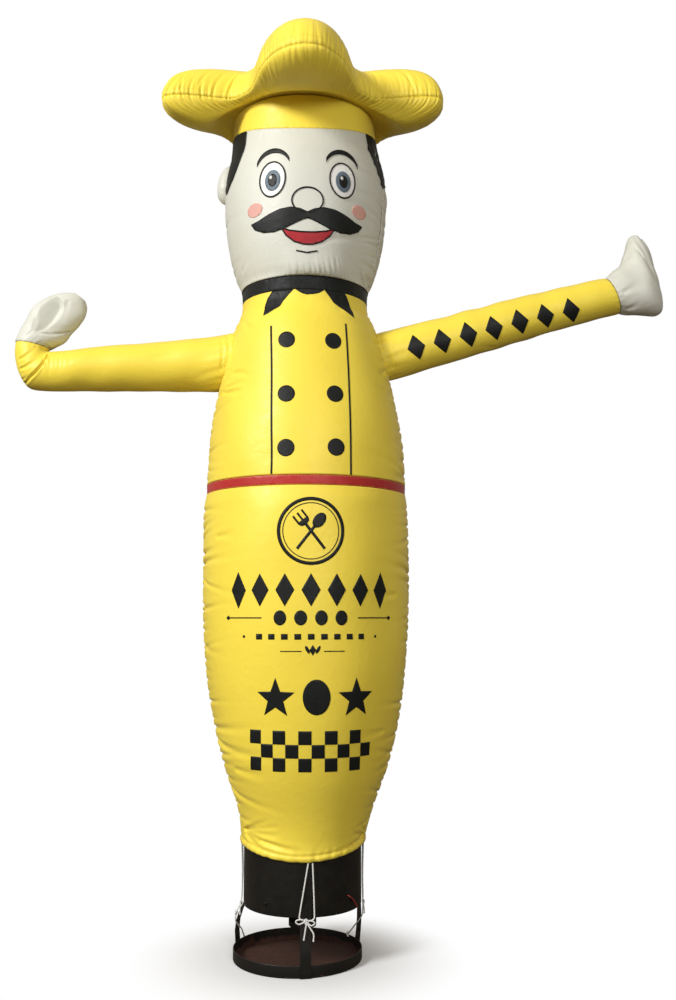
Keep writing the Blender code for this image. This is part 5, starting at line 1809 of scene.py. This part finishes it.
for node, bearing in EAR_BEARINGS.items():
    lift = np.radians(np.linspace(0.0, 86.0, EAR_ROWS + 1))[:, None]
    turn = np.linspace(0.0, 2 * math.pi, EAR_COLUMNS, endpoint=False)[None, :]
    spread = np.cos(lift)
    side = EAR_DEEP / 2 * spread * np.cos(turn)
    z = EAR_Z + EAR_TALL / 2 * spread * np.sin(turn)
    bearing_here = math.radians(bearing) + side / float(read_curve(HEAD, EAR_Z))
    luck = random.Random(bearing)
    puckers = sum(
        np.sin(luck.randint(9, 26) * turn + luck.uniform(0.0, 6.28)) for _ in range(8)
    ) * 0.0007 * np.cos(lift) ** 3
    # A shallow hollow in the front of the lobe, as the cut of the panel gives it.
    hollow = 0.010 * np.exp(-((side + 0.006) / 0.018) ** 2 - ((z - EAR_Z - 0.004) / 0.036) ** 2)
    proud = EAR_PROUD * np.sin(lift) - hollow * np.sin(lift) ** 2 - EAR_SINK * np.cos(lift) ** 6
    radius = read_curve(HEAD, z) + proud + puckers
    grid = np.stack([
        middle_x(z) + radius * np.cos(bearing_here),
        radius * np.sin(bearing_here),
        z,
    ], axis=-1)
    sewn(f"{node}_lobe", grid, ivory_nylon, "ivory_nylon", node, ["head_panel_front"],
         around=True, tip=True)

# ======== hat band
# A yellow nylon band round the head, 0.09 to 0.16 m tall, between the face and the puffed crown.

CROWN_CREASE = 0.020      # how far the seam between the band and the crown is drawn in

hat = band_grid(HEAD, band_edge(0.0), level(BAND_TOP_Z), 32)
depth = band_relief(hat, 14, 0.0016, 0.0010)
depth += broad_swell(hat["across"], hat["up"], 9, 0.0012) * np.sin(math.pi * hat["climb"])
depth += CROWN_CREASE * np.exp(-((BAND_TOP_Z - hat["up"]) / 0.0055) ** 2)
pushed_in(hat, depth, around=True)
sewn("hat_band_cloth", hat["grid"], yellow_nylon, "yellow_nylon", "hat_band",
     ["head_panel_front", "head_panel_back"], around=True)

stitched("hat_band_stitches", [closed(hat["grid"][1])], yellow_thread)

# ======== crown
# The puffed top of a cook's hat: an upper and a lower half of yellow nylon with five lobes, sewn
# round their rim. The full upper half is gathered into the seam every 1 to 3 cm.

SEAM_Z = 3.457
# The lobes: angle of the tip in degrees and radius of the seam there, narrowness of the lobe, how
# much higher the top swells at the tip, and how much lower the underside hangs.
CROWN_LOBES = [
    (-89, 0.672, 2.6, 0.036, 0.061),
    (-25, 0.625, 4.0, 0.005, 0.069),
    (66, 0.600, 1.8, 0.000, 0.050),
    (114, 0.600, 1.8, 0.000, 0.050),
    (203, 0.628, 4.0, -0.008, 0.067),
]
# The valleys between them: angle, and radius of the seam.
CROWN_VALLEYS = [(-133.4, 0.371), (-48.5, 0.387), (32, 0.365), (90, 0.365), (148, 0.365)]
CROWN_NEXT = 60           # a valley's own two lobes are less than this many degrees away
CROWN_FULLNESS = 0.235    # power that makes the top's section fuller than a half circle
CROWN_RISE = 0.151
CROWN_CENTRE_RISE = 0.031
CROWN_VALLEY_HANG = 0.010
CROWN_INNER = 0.3045
CROWN_COLUMNS = 1240
TOP_ROWS = 24
UNDER_ROWS = 17
GATHER_PITCH = 0.025
HANG_FROM = 0.45          # share of the way out at which the underside hangs fully
INNER_FADE = 0.05         # the gathers have run out this far from the band


def crown_outline(angle):
    """At each angle: the radius of the seam, the extra rise of the top, the underside's hang."""
    degrees = np.degrees(angle)
    radius, extra, hang = (np.zeros_like(degrees) for _ in range(3))
    for valley, valley_radius in CROWN_VALLEYS:
        off = (degrees - valley + 180) % 360 - 180
        for tip, tip_radius, narrowness, tip_rise, tip_hang in CROWN_LOBES:
            span = (tip - valley + 180) % 360 - 180
            if abs(span) >= CROWN_NEXT:
                continue
            here = (off * span >= 0) & (np.abs(off) <= abs(span))
            full = np.sin(0.5 * math.pi * np.clip(off / span, 0.0, 1.0)) ** narrowness
            radius = np.where(here, valley_radius + (tip_radius - valley_radius) * full, radius)
            extra = np.where(here, tip_rise * full, extra)
            hang = np.where(here, CROWN_VALLEY_HANG + tip_hang * full, hang)
    return radius, extra, hang


def even_rim_angles(count):
    """Angles that split the crown's seam into equal lengths."""
    angle = np.linspace(-math.pi, math.pi, 14401)
    radius = crown_outline(angle)[0]
    rim = np.stack([radius * np.cos(angle), radius * np.sin(angle)], axis=1)
    run = np.concatenate([[0.0], np.cumsum(np.linalg.norm(np.diff(rim, axis=0), axis=1))])
    wanted = np.linspace(0.0, run[-1], count, endpoint=False)
    return np.interp(wanted, run, angle), run[-1]


def crown_grid(angle, around, top):
    """Rows from the seam: to the middle of the top, or down, round and in to the hat band."""
    edge, extra, hang = (values[None, :] for values in crown_outline(angle))
    around = around[:, None]
    if top:
        share = np.sin(around) ** CROWN_FULLNESS
        radius = edge * share
        rise = CROWN_RISE + CROWN_CENTRE_RISE * (1 - share ** 2) ** 2 + extra * share ** 2
        z = SEAM_Z + 0.5 * SEAM_GAP + rise * np.cos(around)
    else:
        share = (1 + np.cos(around)) / 2
        radius = CROWN_INNER + (edge - CROWN_INNER) * share
        climb = (SEAM_Z - BAND_TOP_Z) * (1 - share)
        # The cloth leaves the band level, and hangs further out. Its edge is drawn into the seam.
        out = np.clip(share / HANG_FROM, 0.0, 1.0)
        z = SEAM_Z - 0.5 * SEAM_GAP - climb - hang * np.sin(around) * out * out * (3 - 2 * out)
        radius = radius - CROWN_CREASE * np.exp(-((radius - CROWN_INNER) / 0.009) ** 2)
    return np.stack([
        middle_x(z) + radius * np.cos(angle)[None, :],
        radius * np.sin(angle)[None, :],
        z,
    ], axis=-1)


def gathers(run, length, from_seam, seed, reach, deep):
    """Depth of the sharp pleats that the seam draws into the cloth, all round the rim."""
    places = random.Random(77)
    luck = random.Random(seed)
    depth = np.zeros(np.broadcast(run, from_seam).shape)
    place = 0.0
    while place < length - GATHER_PITCH * 0.5:
        strong = places.uniform(0.2, 1.0) ** 1.3
        width = places.uniform(0.0028, 0.0046)
        off = (run - place + length / 2) % length - length / 2
        lean = luck.uniform(-0.22, 0.22)
        tall = reach * luck.uniform(0.45, 1.6)
        off = np.abs(off - lean * from_seam) / (width * (1.0 + from_seam / 0.16))
        groove = 1.25 * np.exp(-off) - 0.30 * np.exp(-((off - 2.4) / 1.0) ** 2)
        depth += deep * strong * groove * np.exp(-(from_seam / tall) ** 1.7)
        place += GATHER_PITCH * places.uniform(0.3, 1.3)
    return depth


def seam_places(run, length, from_seam):
    """What the streaks of the nylon follow: the way along a closed seam, and from it."""
    along = np.concatenate([run, [[length]]], axis=1)
    return np.broadcast_to(along, (len(from_seam), along.shape[1])), np.concatenate(
        [from_seam, from_seam[:, :1]], axis=1
    )


rim_angles, rim_length = even_rim_angles(CROWN_COLUMNS)
rim_run = (np.arange(CROWN_COLUMNS) * rim_length / CROWN_COLUMNS)[None, :]
top_steps = np.radians(90.0 - 89.4 * np.linspace(0.0, 1.0, TOP_ROWS + 1) ** 0.85)
under_steps = np.radians(180.0 * np.linspace(0.0, 1.0, UNDER_ROWS + 1))

crown = {}
for half, steps, seed, reach, deep, sense, rests_on in (
    ("upper", top_steps, 51, 0.080, 0.0072, -1.0, "crown_lower_half"),
    ("lower", under_steps, 52, 0.060, 0.0056, 1.0, "hat_band_cloth"),
):
    upper = half == "upper"
    grid = crown_grid(rim_angles, steps, top=upper)
    lengths = np.linalg.norm(np.diff(grid, axis=0), axis=-1)
    from_seam = np.concatenate([np.zeros((1, CROWN_COLUMNS)), np.cumsum(lengths, axis=0)])
    depth = gathers(rim_run, rim_length, from_seam, seed, reach, deep)
    depth += 0.0014 * np.exp(-(from_seam / 0.006) ** 2)
    if not upper:
        depth *= np.clip((from_seam[-1:] - from_seam) / INNER_FADE, 0.0, 1.0)
    grid += sense * normals_of(grid, around=True) * depth[..., None]
    sewn(f"crown_{half}_half", grid, yellow_nylon, "yellow_nylon",
         "crown_top" if upper else "crown_under", [rests_on], around=True, tip=upper,
         flip=not upper, seam=seam_places(rim_run, rim_length, from_seam))
    crown[half] = grid

stitched("crown_stitches", [closed(crown["upper"][2])], yellow_thread)

# ======== sleeves
# Two long arms of yellow nylon, each one panel rolled into a tube. The left one is bent up near
# its end, and sharp folds cross it there. The right one is straight.

SLEEVE_COLUMNS = 80
SLEEVE_ROWS = 176
ROOT_SINK = 0.004         # the sleeve's root is sunk this far into the coat

# Creases along a sleeve, as the way along it and round it from the top towards the front:
# from along, from round, to along, to round, half width, depth.
LEFT_CREASES = [
    (380, 500, 60, 2300, 36, 110), (240, 2620, 560, 900, 38, 85),
    (0, 1200, 1100, 1350, 80, 60), (0, 1800, 1500, 1700, 90, 55),
    (0, 2500, 1300, 2650, 90, 65), (0, 600, 900, 500, 80, 45),
    (0, -1000, 1200, -1200, 90, 55), (0, -2300, 1400, -2200, 90, 55),
    (7720, 550, 8260, 2620, 36, 130), (8260, 2620, 7720, 550, 40, 80),
    (8720, 1920, 8120, 980, 45, 80), (9050, 1720, 8480, 740, 45, 60),
    (8420, 2400, 8000, 1500, 45, 60), (7940, 800, 7680, 1650, 30, 36),
    (7790, 960, 7510, 1480, 30, 22), (7650, 840, 7370, 1700, 34, 34),
    (7410, 1010, 7220, 1500, 30, 20), (7270, 900, 7000, 1720, 32, 30),
    (7040, 1100, 6880, 1600, 30, 22), (6830, 980, 6640, 1520, 34, 16),
    (9050, -2150, 7800, -2350, 80, 60), (8900, -1300, 7600, -1150, 75, 50),
    (5600, 3000, 4200, 3050, 90, 30), (3300, 1500, 2200, 1400, 90, 25),
]
RIGHT_CREASES = [
    (300, 2400, 460, 900, 50, 60), (0, 1000, 1100, 1100, 80, 50),
    (0, 1900, 1400, 1800, 90, 60), (0, 400, 800, 340, 80, 40),
    (0, -1200, 1100, -1300, 85, 50), (0, -2000, 1300, -1900, 85, 50),
    (4800, 2700, 4000, 2350, 85, 30), (7600, 200, 7000, 600, 85, 30),
]


def root_position(sections, angle):
    """Where a sleeve's lines leave the coat, by halving the stretch that holds the crossing."""
    inside, outside = np.zeros_like(angle), np.full_like(angle, 2.0)
    for _ in range(22):
        middle = (inside + outside) / 2
        point = arm_points(sections, middle, angle)
        reach = np.hypot(point[..., 0] - middle_x(point[..., 2]), point[..., 1])
        beyond = reach > read_curve(COAT, point[..., 2]) - ROOT_SINK
        outside = np.where(beyond, middle, outside)
        inside = np.where(beyond, inside, middle)
    return outside


def arm_grid(sections, rows, columns, start=None, ease=1.0):
    """Rings along a cloth arm, with the way along it and round it at each point, in metres."""
    angle = np.linspace(0.0, 2 * math.pi, columns, endpoint=False)[None, :]
    first = start(sections, angle) if start else np.zeros_like(angle)
    share = np.linspace(0.0, 1.0, rows + 1)[:, None] ** ease
    grid = arm_points(sections, first + (len(sections) - 1 - first) * share, angle)
    lines = np.linalg.norm(np.diff(grid, axis=0), axis=-1)
    along = np.concatenate([np.zeros((1, columns)), np.cumsum(lines, axis=0)])
    rings = np.linalg.norm(grid - np.roll(grid, 1, axis=1), axis=-1)
    girth = rings.sum(axis=1, keepdims=True)
    round_it = np.cumsum(rings, axis=1) - rings[:, :1]
    # The front (-Y) is at a bearing of 270 degrees, so the way round is turned to grow that way.
    return grid, along, np.where(round_it > girth / 2, girth - round_it, -round_it)


def cuff_puckers(along, round_it, seed, from_end, reach, deep, pitch):
    """Short creases along the arm where a seam or a fold gathers its cloth."""
    luck = random.Random(seed)
    depth = np.zeros_like(along)
    place = round_it.min()
    while place < round_it.max():
        tall = reach * luck.uniform(0.5, 1.3)
        width = luck.uniform(0.0045, 0.0080)
        off = (round_it - place - luck.uniform(-0.2, 0.2) * from_end) / width
        depth += deep * luck.uniform(0.5, 1.1) * np.exp(-0.5 * off ** 2 - (from_end / tall) ** 2)
        place += pitch * luck.uniform(0.7, 1.4)
    return depth


ARM_SIDES = (
    ("left", LEFT_SLEEVE, LEFT_CREASES, 61, -1.0),
    ("right", RIGHT_SLEEVE, RIGHT_CREASES, 62, 1.0),
)
sleeve_grids = {}
for side, sections, table, seed, sense in ARM_SIDES:
    grid, along, round_it = arm_grid(sections, SLEEVE_ROWS, SLEEVE_COLUMNS, root_position)
    depth = creased(along, round_it, table)
    depth += cuff_puckers(along, round_it, seed, along, 0.050, 0.0050, 0.030)
    depth += cuff_puckers(along, round_it, seed + 5, along[-1:] - along, 0.022, 0.0022, 0.022)
    depth += broad_swell(along, round_it, seed, 0.0016, 0.16)
    depth += 0.0018 * np.exp(-((along[-1:] - along) / 0.004) ** 2)
    grid = grid + sense * normals_of(grid, around=True) * depth[..., None]
    sleeve_grids[side] = (grid, along, round_it)
    sewn(f"sleeve_{side}_cloth", grid, yellow_nylon, "yellow_nylon", f"sleeve_{side}",
         ["coat_panel_front", "coat_panel_back"], around=True, flip=sense > 0)

stitched("sleeve_stitches", [closed(sleeve_grids[side][0][row]) for side in sleeve_grids
                             for row in (1, -2)], yellow_thread)

# ======== print on the right sleeve
# A row of seven black lozenges is printed along the front of the right sleeve.

SLEEVE_MARKS = 7
SLEEVE_FIRST = 0.095      # how far from the coat the row starts, and how far it goes on
SLEEVE_ROW = 0.790
MARK_WIDE = 0.038
MARK_TALL = 0.056
MARK_MIDDLE = 0.172       # from the sleeve's top line round to the middle of the row

grid, along, round_it = sleeve_grids["right"]
normal = -normals_of(grid, around=True)


def on_right_sleeve(points):
    """Flat points, along the sleeve and round it from its top, placed on its front."""
    half = SLEEVE_COLUMNS // 2
    # The columns of the front, from the top downwards.
    columns = (SLEEVE_COLUMNS - np.arange(half + 1)) % SLEEVE_COLUMNS
    front, way, out = grid[:, columns], along[:, columns], normal[:, columns]
    girth = np.abs(round_it[:, columns])
    placed = []
    for run, turn in points:
        rows = [np.interp(run, way[:, k], np.arange(len(way))) for k in range(half + 1)]
        spots = [girth[int(row), k] for k, row in enumerate(rows)]
        column = float(np.interp(turn, spots, np.arange(half + 1)))
        k = min(int(column), half - 1)
        spot = np.zeros(3)
        for share, j in ((k + 1 - column, k), (column - k, k + 1)):
            row = min(rows[j], len(way) - 1.001)
            i, up = int(row), rows[j] - int(row)
            for part, index in ((1 - up, i), (up, i + 1)):
                spot += share * part * (front[index, j] + PRINT_LIFT * out[index, j])
        placed.append(spot)
    return np.array(placed)


shapes = []
for k in range(SLEEVE_MARKS):
    run = SLEEVE_FIRST + SLEEVE_ROW * (k + 0.5) / SLEEVE_MARKS
    shapes.append(filled(lozenge(run, MARK_MIDDLE, MARK_WIDE, MARK_TALL)))
printed("sleeve_print", shapes, on_right_sleeve, black_ink)

# ======== hands
# Mittens of ivory nylon, sewn to the cuffs. The left one leans back over its arm with a sunk palm,
# and the right one stands up from its cuff with a soft crease across the palm.

LEFT_HAND = [
    (-0.993, 2.490, -1.157, 2.580, 0.066),
    (-0.955, 2.532, -1.120, 2.640, 0.056),
    (-0.922, 2.576, -1.086, 2.676, 0.050),
    (-0.904, 2.608, -1.050, 2.692, 0.043),
    (-0.897, 2.640, -1.000, 2.703, 0.034),
    (-0.908, 2.668, -0.955, 2.706, 0.020),
]
RIGHT_HAND = [
    (1.344, 2.822, 1.449, 2.634, 0.086),
    (1.375, 2.850, 1.530, 2.633, 0.086),
    (1.391, 2.890, 1.555, 2.668, 0.080),
    (1.402, 2.925, 1.539, 2.765, 0.068),
    (1.411, 2.956, 1.522, 2.842, 0.056),
    (1.419, 2.974, 1.507, 2.905, 0.043),
    (1.435, 2.986, 1.490, 2.944, 0.026),
]
PALM_FROM = (0.050, 0.128)
PALM_TO = (0.262, 0.152)
PALM_HALF = 0.046
PALM_DEEP = 0.040
HAND_COLUMNS = 96
HAND_ROWS = 80
LEFT_HAND_CREASES = [
    (1220, 120, 620, 850, 34, 100), (660, 780, 400, 1380, 34, 80),
    (60, 0, 80, 1000, 34, 70), (580, 1400, 60, 1460, 40, 60),
    (450, 1100, 100, 550, 40, 35), (600, 1460, 2000, 2260, 45, 50),
    (2500, 1000, 1100, 880, 90, 35), (100, -600, 1400, -700, 80, 70),
    (300, -1300, 1200, -1100, 70, 50),
]
RIGHT_HAND_CREASES = [
    (2350, 1200, 1900, 200, 90, 60), (1200, 300, 1900, 600, 80, 45),
    (200, 600, 1100, 700, 75, 50), (200, 1500, 1200, 1650, 80, 55),
    (200, 2300, 900, 2350, 75, 45), (200, -900, 1200, -1000, 80, 50),
    (2000, -800, 2400, -300, 80, 40),
]


def palm_hollow(along, round_it):
    """The left hand's palm, which falls in from a sharp outer rim to a ridge along its middle."""
    start, end = np.array(PALM_FROM), np.array(PALM_TO)
    length = np.linalg.norm(end - start)
    way = (end - start) / length
    share = ((along - start[0]) * way[0] + (round_it - start[1]) * way[1]) / length
    inside = np.clip(share, 0.0, 1.0)
    half = PALM_HALF * np.sin(math.pi * inside) ** 0.7 + 0.0001
    off = ((round_it - start[1]) * way[0] - (along - start[0]) * way[1]) / half
    outer = np.clip((1.0 - off) / 1.45, 0.0, 1.0) ** 0.9
    inner = np.clip((1.0 + off) / 0.42, 0.0, 1.0)
    return PALM_DEEP * outer * inner * inner * (3 - 2 * inner) * np.sin(math.pi * inside) ** 0.6


def wrist_section(sections):
    """The sleeve's last section moved on by the gap at the cuff."""
    before, last = sections[-2], sections[-1]
    onward = np.array([last[0] + last[2] - before[0] - before[2],
                       last[1] + last[3] - before[1] - before[3]])
    edge = np.array([last[0] - last[2], last[1] - last[3]])
    edge /= np.linalg.norm(edge)
    square = onward - edge * onward.dot(edge)
    step = square / np.linalg.norm(square) * 1.5 * SEAM_GAP
    return (last[0] + step[0], last[1] + step[1], last[2] + step[0], last[3] + step[1], last[4])


for side, sleeve_sections, sections, table, seed, sense in (
    ("left", LEFT_SLEEVE, LEFT_HAND, LEFT_HAND_CREASES, 71, -1.0),
    ("right", RIGHT_SLEEVE, RIGHT_HAND, RIGHT_HAND_CREASES, 72, 1.0),
):
    whole = [wrist_section(sleeve_sections), *sections]
    grid, along, round_it = arm_grid(whole, HAND_ROWS, HAND_COLUMNS)
    depth = creased(along, round_it, table)
    if side == "left":
        depth += palm_hollow(along, round_it)
    depth += cuff_puckers(along, round_it, seed, along, 0.030, 0.0040, 0.020)
    depth += broad_swell(along, round_it, seed, 0.0018, 0.09)
    depth += 0.0018 * np.exp(-(along / 0.004) ** 2)
    grid = grid + sense * normals_of(grid, around=True) * depth[..., None]
    sewn(f"hand_{side}_cloth", grid, ivory_nylon, "ivory_nylon", f"hand_{side}",
         [f"sleeve_{side}_cloth"], around=True, tip=True, flip=sense > 0)
